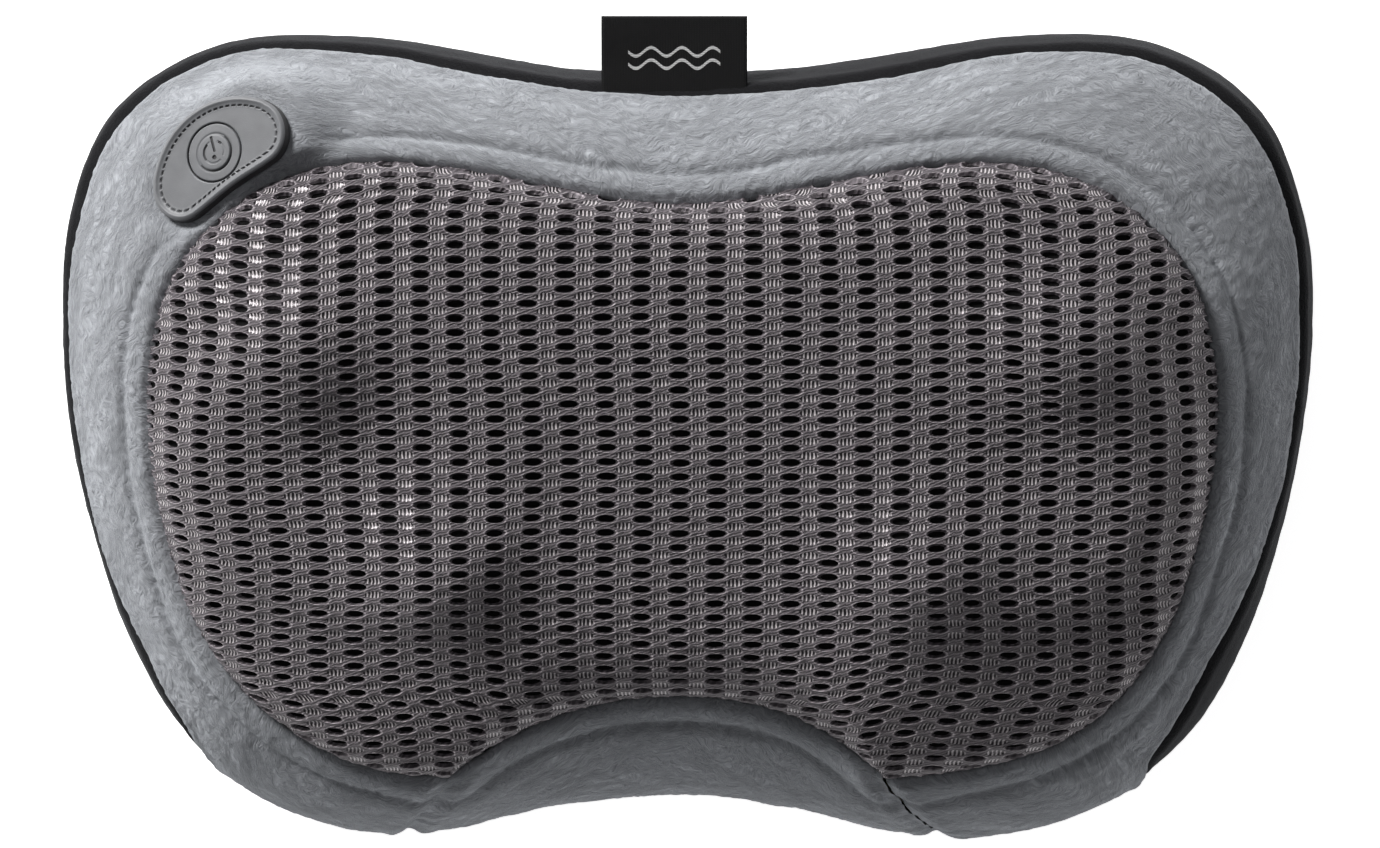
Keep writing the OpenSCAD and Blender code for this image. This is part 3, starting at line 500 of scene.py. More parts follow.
def mat_metal(name, base, rough=0.3, axis=(1, 1, 12), brushed=0.12, metallic=1.0):
    m = Mat(name, base, rough, Metallic=metallic)
    co = m.coords("Object", scale=tuple(1000 * a / 6 for a in axis))
    g = m.noise(co, 2.0, 3, 0.6)
    w = m.noise(m.coords("Object", scale=(1000, 1000, 1000)), 0.12, 3, 0.5)
    m.color(m.mix(m.math("MULTIPLY", w, 0.7), scaled(base, 0.82), scaled(base, 1.08)))
    m.rough(m.math("MULTIPLY_ADD", g, 0.2, max(0.06, rough - 0.1)))
    m.bump(g, brushed, 0.0002)
    return m.m


# ----------------------------------------------------------------------------
# Air-filled swell of the stuffed cover. A coarse closed copy of the pillow is
# blown up a little with cloth simulation and its movement is carried to the
# fine surfaces below. Seams, the flat back and the panel's edge hold still.
# ----------------------------------------------------------------------------
SIM = {"tree": None}


def swell_sim():
    na, nv = 120, 22
    A_ = np.arange(na) * 360.0 / na
    V_ = np.linspace(0, 2, nv)
    P = side(A_[None, :].repeat(nv, 0), V_[:, None].repeat(na, 1), 0.0)
    G = P.copy()
    front = []
    for rho in (0.88, 0.74, 0.58, 0.4, 0.2):
        r = M(A_) * rho
        x, y = r * np.cos(np.radians(A_)), r * np.sin(np.radians(A_))
        front.append(np.stack([x, y, front_z(x, y)], -1))
    G = np.concatenate([G, np.array(front)], 0)
    nr = G.shape[0]
    V = G.reshape(-1, 3)
    faces = [tuple(f) for f in grid_faces(nr, na, wrap_c=True)]
    V = np.concatenate([V, [[0, 0, float(front_z(np.array(0.01), np.array(0.0)))]], [[0, 0, 0]]], 0)
    top, bot = len(V) - 2, len(V) - 1
    base = (nr - 1) * na
    for k in range(na):
        faces.append((base + k, base + (k + 1) % na, top))
        faces.append((k, bot, (k + 1) % na))
    o = new_mesh("swell_proxy", V, faces, [])
    start = np.array([v.co for v in o.data.vertices])
    aa = np.tile(A_, nr)
    vv = np.concatenate([np.repeat(V_, na), np.repeat(np.array([2.2, 2.5, 2.9, 3.5, 4.2]), na)])
    pin = np.zeros(len(V))
    sv = seam_v(aa)
    pin[: nr * na] = np.maximum.reduce([
        np.where(vv < 0.14, 1.0, 0.0),
        np.exp(-((vv - sv) / 0.09) ** 2) * 0.85,
        np.exp(-((vv - 2.0) / 0.07) ** 2) * 0.8,
        np.where(vv > 2.1, 0.55, 0.0),
    ])
    pin[top], pin[bot] = 0.55, 1.0
    g = o.vertex_groups.new(name="pin")
    for k, w in enumerate(pin):
        g.add([k], float(w), "REPLACE")
    c = o.modifiers.new("Cloth", "CLOTH")
    s = c.settings
    s.quality = 6
    s.mass = 0.4
    s.tension_stiffness = s.compression_stiffness = 18
    s.shear_stiffness = 8
    s.bending_stiffness = 1.2
    s.use_pressure = True
    s.uniform_pressure_force = 60.0
    s.vertex_group_mass = "pin"
    s.pin_stiffness = 1.0
    s.effector_weights.gravity = 0.0
    c.collision_settings.use_collision = False
    c.collision_settings.use_self_collision = False
    c.point_cache.frame_start, c.point_cache.frame_end = 1, 20
    for f in range(1, 21):
        scene.frame_set(f)
    dg = bpy.context.evaluated_depsgraph_get()
    e = o.evaluated_get(dg)
    end = np.zeros(len(V) * 3, np.float32)
    e.data.vertices.foreach_get("co", end)
    end = end.reshape(-1, 3).astype(float)
    d = end - start
    d *= 1000.0
    L = np.linalg.norm(d, axis=1, keepdims=True)
    cap = 3.5
    d = d / np.maximum(L, 1e-9) * (cap * np.tanh(L / cap))
    print("swell: mean %.2f mm, most %.2f mm before the cap" % (float(L.mean()), float(L.max())))
    scene.frame_set(1)
    bpy.data.objects.remove(o, do_unlink=True)
    SIM["P"] = V[: nr * na].reshape(nr, na, 3)
    SIM["v"] = np.concatenate([V_, [2.2, 2.5, 2.9, 3.5, 4.2]])
    SIM["d"] = d[: nr * na].reshape(nr, na, 3)
    SIM["tree"] = True


def swell(a, v, share=1.0):
    """Movement, in mm, that the simulation gave the cover at direction a and height v."""
    if SIM["tree"] is None:
        return 0.0
    D, vr = SIM["d"], SIM["v"]
    na = D.shape[1]
    u = (np.asarray(a, float) % 360.0) / 360.0 * na
    i0 = np.floor(u).astype(int) % na
    fu = (u - np.floor(u))[..., None]
    i1 = (i0 + 1) % na
    k = np.clip(np.searchsorted(vr, v, side="right") - 1, 0, len(vr) - 2)
    fv = np.clip((v - vr[k]) / (vr[k + 1] - vr[k]), 0, 1)[..., None]
    return share * ((D[k, i0] * (1 - fu) + D[k, i1] * fu) * (1 - fv) + (D[k + 1, i0] * (1 - fu) + D[k + 1, i1] * fu) * fv)


swell_sim()

# materials used on the outside ---------------------------------------------------
PLUSH = mat_plush("plush_grey", (0.285, 0.297, 0.318))
FUZZ = mat_blackfuzz("black_fabric")
YARN = mat_mesh_yarn("mesh_yarn")
HOLE_SHADE = mat_hole_shade("mesh_hole_painted_shade")

# mesh-edge polyline for distances -------------------------------------------------
_ea = np.arange(0, 360, 0.25)
EDGE_XY = np.stack([M(_ea) * np.cos(np.radians(_ea)), M(_ea) * np.sin(np.radians(_ea))], -1)


def edge_distance(x, y):
    """Level distance, in mm, from the mesh panel's edge, positive outside it."""
    from mathutils.kdtree import KDTree
    t = KDTree(len(EDGE_XY))
    for k, p in enumerate(EDGE_XY):
        t.insert((p[0], p[1], 0), k)
    t.balance()
    fx, fy = np.ravel(x), np.ravel(y)
    out = np.array([t.find((float(p), float(q), 0))[2] for p, q in zip(fx, fy)])
    s = np.sign(np.hypot(fx, fy) - M(np.degrees(np.arctan2(fy, fx))))
    return (out * s).reshape(np.shape(x))


# plush cover ----------------------------------------------------------------------
BADGE_DIR, BADGE_RAD, BADGE_TIP, BADGE_ROT, BADGE_H, BUTTON_R = 147.2, 141.0, 25.0, 37.0, 76.2, 7.6
B0 = np.array([BADGE_RAD * math.cos(math.radians(BADGE_DIR)), BADGE_RAD * math.sin(math.radians(BADGE_DIR)), BADGE_H])
_rz = Matrix.Rotation(math.radians(BADGE_DIR), 3, "Z")
BROT = np.array(_rz @ Matrix.Rotation(math.radians(BADGE_TIP), 3, "Y") @ _rz.inverted())


def bean_arrays(g, L=39.0, n=10):
    R = 34.0
    h = L / 2 - 9
    w = math.degrees(math.asin(h / R))
    pts = []
    for t in np.linspace(-w, w, 4 * n):
        pts.append([(R + 10.5 - g) * math.sin(math.radians(t)), (R + 10.5 - g) * math.cos(math.radians(t)) - R])
    for t in np.linspace(0, 180, 3 * n):
        pts.append([R * math.sin(math.radians(w)) + (9.6 - g) * math.sin(math.radians(w + t)), R * math.cos(math.radians(w)) - R + (9.6 - g) * math.cos(math.radians(w + t))])
    for t in np.linspace(w, -w, 4 * n):
        pts.append([(R - 8.7 + g) * math.sin(math.radians(t)), (R - 8.7 + g) * math.cos(math.radians(t)) - R])
    for t in np.linspace(180, 360, 3 * n):
        pts.append([-R * math.sin(math.radians(w)) + (9.6 - g) * math.sin(math.radians(-w + t)), R * math.cos(math.radians(w)) - R + (9.6 - g) * math.cos(math.radians(-w + t))])
    return np.array(pts)


def inside_poly(poly, x, y):
    c = np.zeros(np.shape(x), bool)
    n = len(poly)
    j = n - 1
    for i in range(n):
        xi, yi, xj, yj = poly[i][0], poly[i][1], poly[j][0], poly[j][1]
        cond = ((yi > y) != (yj > y))
        with np.errstate(divide="ignore", invalid="ignore"):
            xx = (xj - xi) * (y - yi) / (yj - yi + 1e-12) + xi
        c ^= cond & (x < xx)
        j = i
    return c


def poly_dist(poly, x, y):
    """Signed level distance to a closed outline, negative inside."""
    best = np.full(np.shape(x), 1e9)
    n = len(poly)
    for i in range(n):
        p, q = poly[i], poly[(i + 1) % n]
        d = q - p
        L = max(float(d @ d), 1e-12)
        t = np.clip(((x - p[0]) * d[0] + (y - p[1]) * d[1]) / L, 0, 1)
        best = np.minimum(best, np.hypot(x - p[0] - t * d[0], y - p[1] - t * d[1]))
    return np.where(inside_poly(poly, x, y), -best, best)


def badge_local(P):
    """Points in the badge's own frame: x, y across it and z out of it."""
    return (P - B0) @ BROT


def plush_piece(name, a0, a1, step, node):
    na = int(round((a1 - a0) / step)) + 1
    A_ = np.linspace(a0, a1, na)
    nv = 66
    T_ = np.linspace(0, 1, nv)
    A2 = A_[None, :].repeat(nv, 0)
    V2 = seam_v(A_)[None, :] * (1 - T_[:, None]) + 2.0 * T_[:, None]
    P = side(A2, V2, 0.0) + swell(A2, V2)
    N = grid_normals(P)
    if (N[nv // 2, na // 2] @ P[nv // 2, na // 2]) < 0:
        N = -N
    dist = edge_distance(P[..., 0], P[..., 1])
    arc_a = np.cumsum(np.concatenate([[0], np.linalg.norm(np.diff(P[nv // 2], axis=0), axis=1)]))
    arc_v = np.concatenate([np.zeros((1, na)), np.cumsum(np.linalg.norm(np.diff(P, axis=0), axis=2), axis=0)], 0)
    total = arc_v[-1]
    back = total[None, :] - arc_v
    h = np.full(P.shape[:2], 0.9)
    # stitched groove, its stitches a little deeper, with the pile pushed up beside it
    wob = 0.5 * vnoise(arc_a / 22.0, 3.3, 0, 5)[None, :]
    g = (dist - 6.9 - wob) / 1.0
    st = 0.5 + 0.5 * np.cos(2 * np.pi * arc_a / 3.6)[None, :]
    on = smooth(dist, 1.0, 2.2)
    L = badge_local(P)
    poly = bean_arrays(-2.0)
    c, s_ = math.cos(math.radians(BADGE_ROT)), math.sin(math.radians(BADGE_ROT))
    bx, by = L[..., 0] * c + L[..., 1] * s_, -L[..., 0] * s_ + L[..., 1] * c
    near = (np.hypot(L[..., 0], L[..., 1]) < 42) & (L[..., 2] > -25)
    bd = np.full(P.shape[:2], 99.0)
    if near.any():
        bd[near] = poly_dist(poly, bx[near], by[near])
    calm = smooth(bd, 3.0, 10.0)
    h -= (0.8 + 0.3 * st * (0.6 + 0.4 * vnoise(arc_a / 9.0, 1.7, 0, 6)[None, :])) * np.exp(-g * g) * on * calm
    h += 0.36 * np.exp(-((dist - 3.2) / 1.8) ** 2) + 0.26 * np.exp(-((dist - 10.4) / 2.4) ** 2)
    # roll down at the mesh edge and at the seam with the black side
    h -= 1.5 * np.exp(-(back / 0.9) ** 2)
    h -= 2.3 * np.exp(-(arc_v / 2.2) ** 2)
    h += 0.5 * np.exp(-((arc_v - 4.5) / 2.2) ** 2)
    # end seams
    r = np.hypot(P[..., 0], P[..., 1])
    for e in (A_[0], A_[-1]):
        d = r * np.radians(np.abs(A2 - e))
        h -= 1.6 * np.exp(-(d / 1.5) ** 2)
        h += 0.45 * np.exp(-((d - 3.6) / 1.8) ** 2)
        q = np.exp(-(d / 3.2) ** 2)
        h -= 0.4 * q * (0.5 + 0.5 * np.cos(2 * np.pi * arc_v / 5.2))
    # soft unevenness of the stuffing and the pile
    h += 0.75 * vnoise(P[..., 0] / 30, P[..., 1] / 30, P[..., 2] / 30, 11)
    h += 0.30 * vnoise(P[..., 0] / 9, P[..., 1] / 9, P[..., 2] / 9, 12)
    ca, sa = math.cos(0.5), math.sin(0.5)
    sx = P[..., 0] * ca + P[..., 1] * sa + 3 * vnoise(P[..., 0] / 17, P[..., 1] / 17, 0, 14)
    sy = -P[..., 0] * sa + P[..., 1] * ca + 3 * vnoise(P[..., 0] / 17, P[..., 1] / 17, 0, 15)
    nap = vnoise(sx / 2.6, sy / 1.1, P[..., 2] / 1.4, 13)
    h += 0.26 * nap
    # bed for the badge
    bed = smooth(-bd, -2.5, 1.2)
    fill = smooth(bd, 11.0, 1.0) * smooth(dist, 0.8, 5.0)
    Q = P + N * h[..., None]
    if near.any():
        Lq = badge_local(Q)
        want = np.maximum(Lq[..., 2], -0.5 - 0.2 * np.clip(bd, 0, 12))
        Lq[..., 2] = Lq[..., 2] * (1 - fill) + want * fill
        low_z = np.minimum(Lq[..., 2], -0.35)
        Lq[..., 2] = Lq[..., 2] * (1 - bed) + low_z * bed
        Q = Lq @ BROT.T + B0
    # tucked inner edge
    inn = -np.stack([np.cos(np.radians(A_)), np.sin(np.radians(A_)), 0 * A_], -1)
    lip = []
    for dr, dz in ((1.0, -0.55), (1.3, -1.6), (0.7, -2.6)):
        lip.append(Q[-1] + inn * dr + np.array([0, 0, dz]))
    G = np.concatenate([Q, np.array(lip)], 0)
    # tucked outer edge, under the seam
    tuck = side(A_, seam_v(A_) - 0.02, 2.2)[None]
    G = np.concatenate([tuck, G], 0)
    nr = G.shape[0]
    uvv = np.concatenate([arc_v[:1] - 2, arc_v, arc_v[-1:] + 1, arc_v[-1:] + 2, arc_v[-1:] + 3], 0)
    UV = np.stack([np.broadcast_to(arc_a, uvv.shape), uvv], -1).reshape(-1, 2)
    F = grid_faces(nr, na)
    o = new_mesh(name, settle(G.reshape(-1, 3)), F[:, ::-1], PLUSH, uv=UV)
    ride(o, "cushion", [node])
    return o, Q, A_, N


border, BQ, BA, BN = plush_piece("cover_border", -54.85, 234.85, 0.3, "front_border_cover")
lower_c, LQ, LA, LN = plush_piece("cover_lower_center", -125.15, -55.15, 0.3, "lower_center_panel")

# ----------------------------------------------------------------------------
# Mesh fabric over the massage face, knitted with open lens-shaped holes
# ----------------------------------------------------------------------------


def surface_maps():
    xs = np.arange(-150, 151, 1.0)
    ys = np.arange(-112, 92, 1.0)
    X, Y = np.meshgrid(xs, ys, indexing="ij")
    Z = front_z(X, Y)
    zx = np.gradient(Z, axis=0)
    zy = np.gradient(Z, axis=1)
    zx, zy = np.clip(zx, -1.2, 1.2), np.clip(zy, -1.2, 1.2)
    su, sv = np.sqrt(1 + zx ** 2), np.sqrt(1 + zy ** 2)
    i0, j0 = int(np.argmin(np.abs(xs))), int(np.argmin(np.abs(ys)))
    U = np.cumsum(su, 0)
    U -= U[i0][None]
    Vv = np.cumsum(sv, 1)
    Vv -= Vv[:, j0][:, None]
    # let the knit relax: the arcs only partly follow the slopes
    U = 0.75 * U + 0.25 * X
    Vv = 0.75 * Vv + 0.25 * Y
    return xs, ys, U, Vv


XS, YS, UMAP, VMAP = surface_maps()


def bil(T, x, y):
    u = np.clip(x - XS[0], 0, len(XS) - 1.001)
    v = np.clip(y - YS[0], 0, len(YS) - 1.001)
    i, j = u.astype(int), v.astype(int)
    f, g = u - i, v - j
    return T[i, j] * (1 - f) * (1 - g) + T[i + 1, j] * f * (1 - g) + T[i, j + 1] * (1 - f) * g + T[i + 1, j + 1] * f * g


def invert(u, v):
    x, y = np.array(u, float), np.array(v, float)
    for _ in range(24):
        x = x - 0.8 * (bil(UMAP, x, y) - u)
        y = y - 0.8 * (bil(VMAP, x, y) - v)
    return x, y


def mesh_fabric(name, left):
    n = 28
    th = (np.arange(n) + 0.5) / n * 2 * np.pi
    hx, hy = 2.42, 0.97
    e = np.stack([hx * np.sign(np.cos(th)) * np.abs(np.cos(th)) ** 0.85, hy * np.sin(th)], -1)
    e[:, 1] *= 1.0 + 0.0 * e[:, 0]
    # matching points round the cell's rim
    top = np.linspace(1, -1, 11)[:-1]
    sidep = np.linspace(1, -1, 5)[:-1]
    rim = [(PX / 2 * t, PY / 2) for t in top] + [(-PX / 2, PY / 2 * t) for t in sidep] + [(-PX / 2 * t, -PY / 2) for t in top] + [(PX / 2, -PY / 2 * t) for t in sidep]
    rim = np.array(rim)
    ra = np.arctan2(rim[:, 1] / PY, rim[:, 0] / PX)
    rim = rim[np.argsort(ra)]
    ea = np.arctan2(e[:, 1] / hy, e[:, 0] / hx)
    e = e[np.argsort(ea)]
    # rings: (mix towards the rim, scale of the hole, depth)
    rings = [
        (0.0, 0.45, -1.35),
        (0.0, 0.86, -1.0),
        (0.0, 1.0, -0.25),
        (0.0, 1.15, 0.16),
        (0.52, 1.15, 0.06),
        (1.0, 1.0, 0.0),
    ]
    base = []
    for m, s, z in rings:
        base.append(np.concatenate([(1 - m) * e * s + m * rim, np.full((n, 1), z)], 1))
    base = np.array(base)
    iu = np.arange(-17, 18)
    jv = np.arange(-30, 28)
    I, J = np.meshgrid(iu, jv, indexing="ij")
    cu, cv = I.ravel() * PX, J.ravel() * PY
    # leave the cells outside the panel out
    x, y = invert(cu, cv)
    rho = np.hypot(x, y) / M(np.degrees(np.arctan2(y, x)))
    keep = (rho < 1.06) & ((cu < -0.1) if left else (cu > -0.1))
    cu, cv = cu[keep], cv[keep]
    k = len(cu)
    jx = 0.18 * vnoise(cu * 3.1, cv * 1.7, 0, 21)
    jy = 0.12 * vnoise(cu * 2.3, cv * 2.9, 0, 22)
    sc = 1 + 0.10 * vnoise(cu * 5.1, cv * 4.3, 0, 23)
    U = cu[:, None, None] + base[None, :, :, 0] * np.where(np.arange(6) < 4, 1, 0)[None, :, None] * sc[:, None, None] + base[None, :, :, 0] * np.where(np.arange(6) < 4, 0, 1)[None, :, None]
    V = cv[:, None, None] + base[None, :, :, 1]
    w = np.array([1, 1, 1, 1, 0.4, 0])[None, :, None]
    U = U + jx[:, None, None] * w
    V = V + jy[:, None, None] * w
    # gentle wander of the whole knit
    wu = 0.9 * vnoise(U / 40, V / 40, 0, 31)
    wv = 0.6 * vnoise(U / 40, V / 40, 0, 32)
    x, y = invert(U + wu, V + wv)
    z = front_z(x, y)
    dep = np.broadcast_to(base[None, :, :, 2], U.shape).copy()
    # the closed holes that sit between the open ones
    for sx in (-0.5, 0.5):
        for sy in (-0.5, 0.5):
            du = (U - cu[:, None, None] - sx * PX) / 2.5
            dv = (V - cv[:, None, None] - sy * PY) / 0.95
            dep -= 0.62 * np.exp(-(du ** 2 + dv ** 2))
    dep += 0.10 * np.cos(2 * np.pi * U / 0.8) * w[:, :, :] * 0
    dep += 0.10 * vnoise(U / 1.2, V / 1.2, 0, 33) * np.where(np.arange(6) > 2, 1, 0)[None, :, None]
    dep += 0.5 * vnoise(U / 28, V / 28, 0, 34)
    # normals of the form
    hstep = 0.6
    zx = (front_z(x + hstep, y) - front_z(x - hstep, y)) / (2 * hstep)
    zy = (front_z(x, y + hstep) - front_z(x, y - hstep)) / (2 * hstep)
    ln = np.sqrt(1 + zx ** 2 + zy ** 2)
    a = np.degrees(np.arctan2(y, x))
    rho = np.hypot(x, y) / M(a)
    vpar = np.interp(rho, [0.2, 0.4, 0.58, 0.74, 0.88, 1.0], [4.2, 3.5, 2.9, 2.5, 2.2, 2.0])
    dz = swell(a, vpar)
    dz = dz[..., 2] if not np.isscalar(dz) else 0.0
    dep_off = dep - 0.35
    P = np.stack([x - zx / ln * dep_off, y - zy / ln * dep_off, z + dz + dep_off / ln], -1)
    idx = np.arange(k * 6 * n).reshape(k, 6, n)
    quads = []
    mats = []
    for r in range(5):
        a_ = idx[:, r, :]
        b_ = idx[:, r + 1, :]
        q = np.stack([a_, b_, np.roll(b_, -1, 1), np.roll(a_, -1, 1)], -1).reshape(-1, 4)
        quads.append(q)
        # the lowest ring of each hole wall takes the near-black material: painted shade
        mats.append(np.full(len(q), 1 if r < 1 else 0))
    Q = np.concatenate(quads, 0)
    mt = np.concatenate(mats)
    # pit floors, near-black: painted shade in the holes
    fl = idx[:, 0, :]
    half_n = n // 2
    strips = []
    for s in range(half_n - 1):
        strips.append(np.stack([fl[:, s], fl[:, s + 1], fl[:, n - 2 - s], fl[:, n - 1 - s]], -1))
    Fl = np.concatenate(strips, 0)
    Q = np.concatenate([Q, Fl], 0)
    mt = np.concatenate([mt, np.ones(len(Fl), int)])
    rv = rho.ravel()
    ok = (rv[Q] < 1.034).all(1)
    Q, mt = Q[ok], mt[ok]
    used = np.unique(Q)
    remap = -np.ones(len(rv), int)
    remap[used] = np.arange(len(used))
    Pf = settle(P.reshape(-1, 3)[used])
    UV = np.stack([U.ravel(), V.ravel()], -1)[used]
    o = new_mesh(name, Pf, remap[Q], [YARN, HOLE_SHADE], uv=UV, mat_idx=mt)
    # weld cell to cell
    import bmesh
    bm = bmesh.new()
    bm.from_mesh(o.data)
    bmesh.ops.remove_doubles(bm, verts=bm.verts, dist=0.00003)
    bmesh.ops.recalc_face_normals(bm, faces=bm.faces)
    bm.to_mesh(o.data)
    bm.free()
    up = np.zeros(len(o.data.polygons) * 3, np.float32)
    o.data.polygons.foreach_get("normal", up)
    if up.reshape(-1, 3)[:, 2].mean() < 0:
        o.data.flip_normals()
    return o


mesh_l = mesh_fabric("cover_mesh_left", True)
mesh_r = mesh_fabric("cover_mesh_right", False)
ride(mesh_l, "cushion", ["mesh_panel"])
ride(mesh_r, "cushion", ["mesh_panel"])


# ----------------------------------------------------------------------------
# Black side, back and lining
# ----------------------------------------------------------------------------
JACK = np.array([161.2, 0.0, 20.0])


def zip_cut(a, z):
    q = low(a)
    return np.where((q < 41) & (z > 7.5) & (z < 24.6), 2.4 + 5.8 * (1 - np.cos(np.radians(1.53 * np.minimum(q, 60)))), 0)


def make_gusset():
    vz = lambda z: 1 - math.degrees(math.asin(1 - z / WAIST)) / 90
    vs = sorted(list(np.linspace(0.0, 0.80, 40)) + [vz(7.5) - 0.002, vz(7.5) + 0.002, vz(24.6) - 0.002, vz(24.6) + 0.002]) + list(0.8 + np.linspace(0, 0.3, 24)[1:])
    vs = np.array(vs)
    A_ = np.sort(np.concatenate([np.arange(0, 360, 0.5), [270 - 41 - 0.04, 270 - 41 + 0.04, 270 + 41 - 0.04, 270 + 41 + 0.04]]))
    A2, V2 = np.meshgrid(A_, vs, indexing="xy")
    topv = seam_v(A_)[None, :]
    V2 = np.where(V2 < 0.8, V2, 0.8 + (V2 - 0.8) / 0.3 * (topv - 0.8))
    P = side(A2, V2, 0.0)
    Pn = side(A2, V2, -1.0) - P
    N = Pn / np.linalg.norm(Pn, axis=-1, keepdims=True)
    P = P + swell(A2, V2, 0.7)
    radial = np.stack([np.cos(np.radians(A2)), np.sin(np.radians(A2)), 0 * A2], -1)
    z0 = side(A2, V2, 0.0)[..., 2]
    cut = zip_cut(A2, z0)
    arc_v = np.concatenate([np.zeros((1, len(A_))), np.cumsum(np.linalg.norm(np.diff(P, axis=0), axis=2), axis=0)], 0)
    arc_a = np.cumsum(np.concatenate([[0], np.linalg.norm(np.diff(P[30], axis=0), axis=1)]))
    top_d = arc_v[-1:] - arc_v
    h = np.full(P.shape[:2], 0.1)
    h += 0.5 * vnoise(P[..., 0] / 34, P[..., 1] / 34, P[..., 2] / 34, 41)
    h += 0.16 * vnoise(P[..., 0] / 3.1, P[..., 1] / 3.1, P[..., 2] / 3.1, 42)
    h -= 1.9 * np.exp(-(top_d / 2.0) ** 2)
    h += 0.45 * np.exp(-((top_d - 4.2) / 2.0) ** 2)
    h -= 1.0 * np.exp(-(arc_v / 1.3) ** 2)
    # piped fold and a row of stitches on each side of the zip, and the tacked ends
    q = low(A2)
    inzip = smooth(q, 43, 40)
    for zz, s in ((7.5, -1), (24.6, 1)):
        d = (z0 - zz) * s
        h += 0.75 * np.exp(-((d - 1.0) / 1.0) ** 2) * np.where(d > 0, 1, 0) * inzip
        h -= 0.45 * np.exp(-((d - 3.1) / 0.55) ** 2) * inzip * (0.55 + 0.45 * np.cos(2 * np.pi * arc_a / 3.0))[None, :]
    # seat for the charging inlet
    dj = np.hypot(P[..., 1] - JACK[1], P[..., 2] - JACK[2])
    right = (P[..., 0] > 120)
    h = np.where(right, h + 0.5 * np.exp(-((dj - 8.6) / 1.2) ** 2), h)
    G = P + N * h[..., None] - radial * cut[..., None]
    seat = smooth(dj, 8.0, 6.9) * right
    G[..., 0] = G[..., 0] * (1 - seat) + np.minimum(G[..., 0], JACK[0] - 0.12) * seat
    tuck = side(A_, seam_v(A_) + 0.01, 2.0)[None]
    base = side(A_, 0 * A_, 1.2)[None] + np.array([0, 0, 0.5])
    G = np.concatenate([base, G, tuck], 0)
    G[..., 2] = np.maximum(G[..., 2], 0.02)
    nr, na = G.shape[:2]
    F = grid_faces(nr, na, wrap_c=True)
    flat = G.reshape(-1, 3)
    flat = settle(flat, smooth(flat[:, 2], 26, 44))
    c = flat[F].mean(1)
    hole = (np.hypot(c[:, 1] - JACK[1], c[:, 2] - JACK[2]) < 5.4) & (c[:, 0] > 120)
    F = F[~hole]
    o = new_mesh("cover_gusset", flat, F, FUZZ)
    return ride(o, "cushion", ["side_gusset"])


gusset = make_gusset()


def mat_woven(name, base, pitch=0.9, rough=0.85, pale=1.7, spec=0.25):
    """Plain-woven cloth: crossing yarns of the given pitch in mm."""
    m = Mat(name, base, rough, Sheen_Weight=0.2, Sheen_Roughness=0.5, Specular_IOR_Level=spec)
    co = m.coords("Object", scale=(1000, 1000, 1000))
    sp = m.add("ShaderNodeSeparateXYZ")
    m.link(co, sp.inputs[0])
    jit = m.noise(co, 0.35, 2, 0.5)
    sx = m.math("SINE", m.math("MULTIPLY_ADD", sp.outputs["X"], 2 * math.pi / pitch, m.math("MULTIPLY", jit, 2.5)))
    sy = m.math("SINE", m.math("MULTIPLY_ADD", sp.outputs["Y"], 2 * math.pi / pitch, m.math("MULTIPLY", jit, 2.5)))
    w = m.math("MULTIPLY_ADD", m.math("MULTIPLY", sx, sy), 0.5, 0.5)
    n = m.noise(co, 1.8, 3, 0.6)
    h = m.math("ADD", m.math("MULTIPLY", w, 0.8), m.math("MULTIPLY", n, 0.4))
    m.color(m.ramp(h, [(0.25, scaled(base, 0.45)), (0.6, base), (1.0, scaled(base, pale))]))
    m.bump(h, 0.7, 0.0005)
    return m.m


BACKCLOTH = mat_woven("back_cloth", (0.017, 0.017, 0.019), 0.85)
LINING = mat_woven("lining_cloth", (0.03, 0.03, 0.034), 0.5, 0.6, 1.5, 0.4)


def polar_sheet(name, rhos, radius, zf, mat, na=240, down=False):
    A_ = np.arange(na) * 360.0 / na
    rows = []
    for rho in rhos:
        r = radius(A_) * rho
        x, y = r * np.cos(np.radians(A_)), r * np.sin(np.radians(A_))
        rows.append(np.stack([x, y, zf(x, y, rho)], -1))
    G = np.array(rows)
    nr = len(rhos)
    V = np.concatenate([G.reshape(-1, 3), [[0, 0, float(np.mean(zf(np.array([0.01]), np.array([0.0]), 0.0)))]]], 0)
    F = [tuple(f) for f in grid_faces(nr, na, wrap_c=True)]
    F += [(len(V) - 1, k, (k + 1) % na) for k in range(na)]
    if not down:
        pass
    o = new_mesh(name, settle(V) if not down else V, F, mat)
    nz = np.zeros(len(o.data.polygons) * 3, np.float32)
    o.data.polygons.foreach_get("normal", nz)
    if (nz.reshape(-1, 3)[:, 2].mean() < 0) != down:
        o.data.flip_normals()
    return o


def back_z(x, y, rho):
    z = 0.05 + 0.12 * (0.5 + 0.5 * vnoise(x / 11, y / 11, 0, 51)) + 0.25 * (0.5 + 0.5 * vnoise(x / 45, y / 45, 0, 52)) * (1 - rho ** 6)
    z = z + 0.9 * smooth(np.full_like(x, rho), 0.988, 1.0)
    seam = (rho - 0.962) * 120.0
    z = z + 0.35 * np.exp(-(seam / 0.8) ** 2) * (0.6 + 0.4 * np.cos(np.arctan2(y, x) * 260))
    return z


back_panel = polar_sheet("cover_back", list(np.linspace(0.04, 0.94, 46)) + list(np.linspace(0.95, 1.0, 18)), lambda a: S(a) - BACK_IN + 0.2, back_z, BACKCLOTH, 480, True)
ride(back_panel, "cushion", ["back_panel"])


def lining_z(x, y, rho):
    return front_z(x, y, 4.05, 17.3, 6.0) - 0.1 + 0.18 * vnoise(x / 13, y / 13, 0, 61) * (1 - rho)


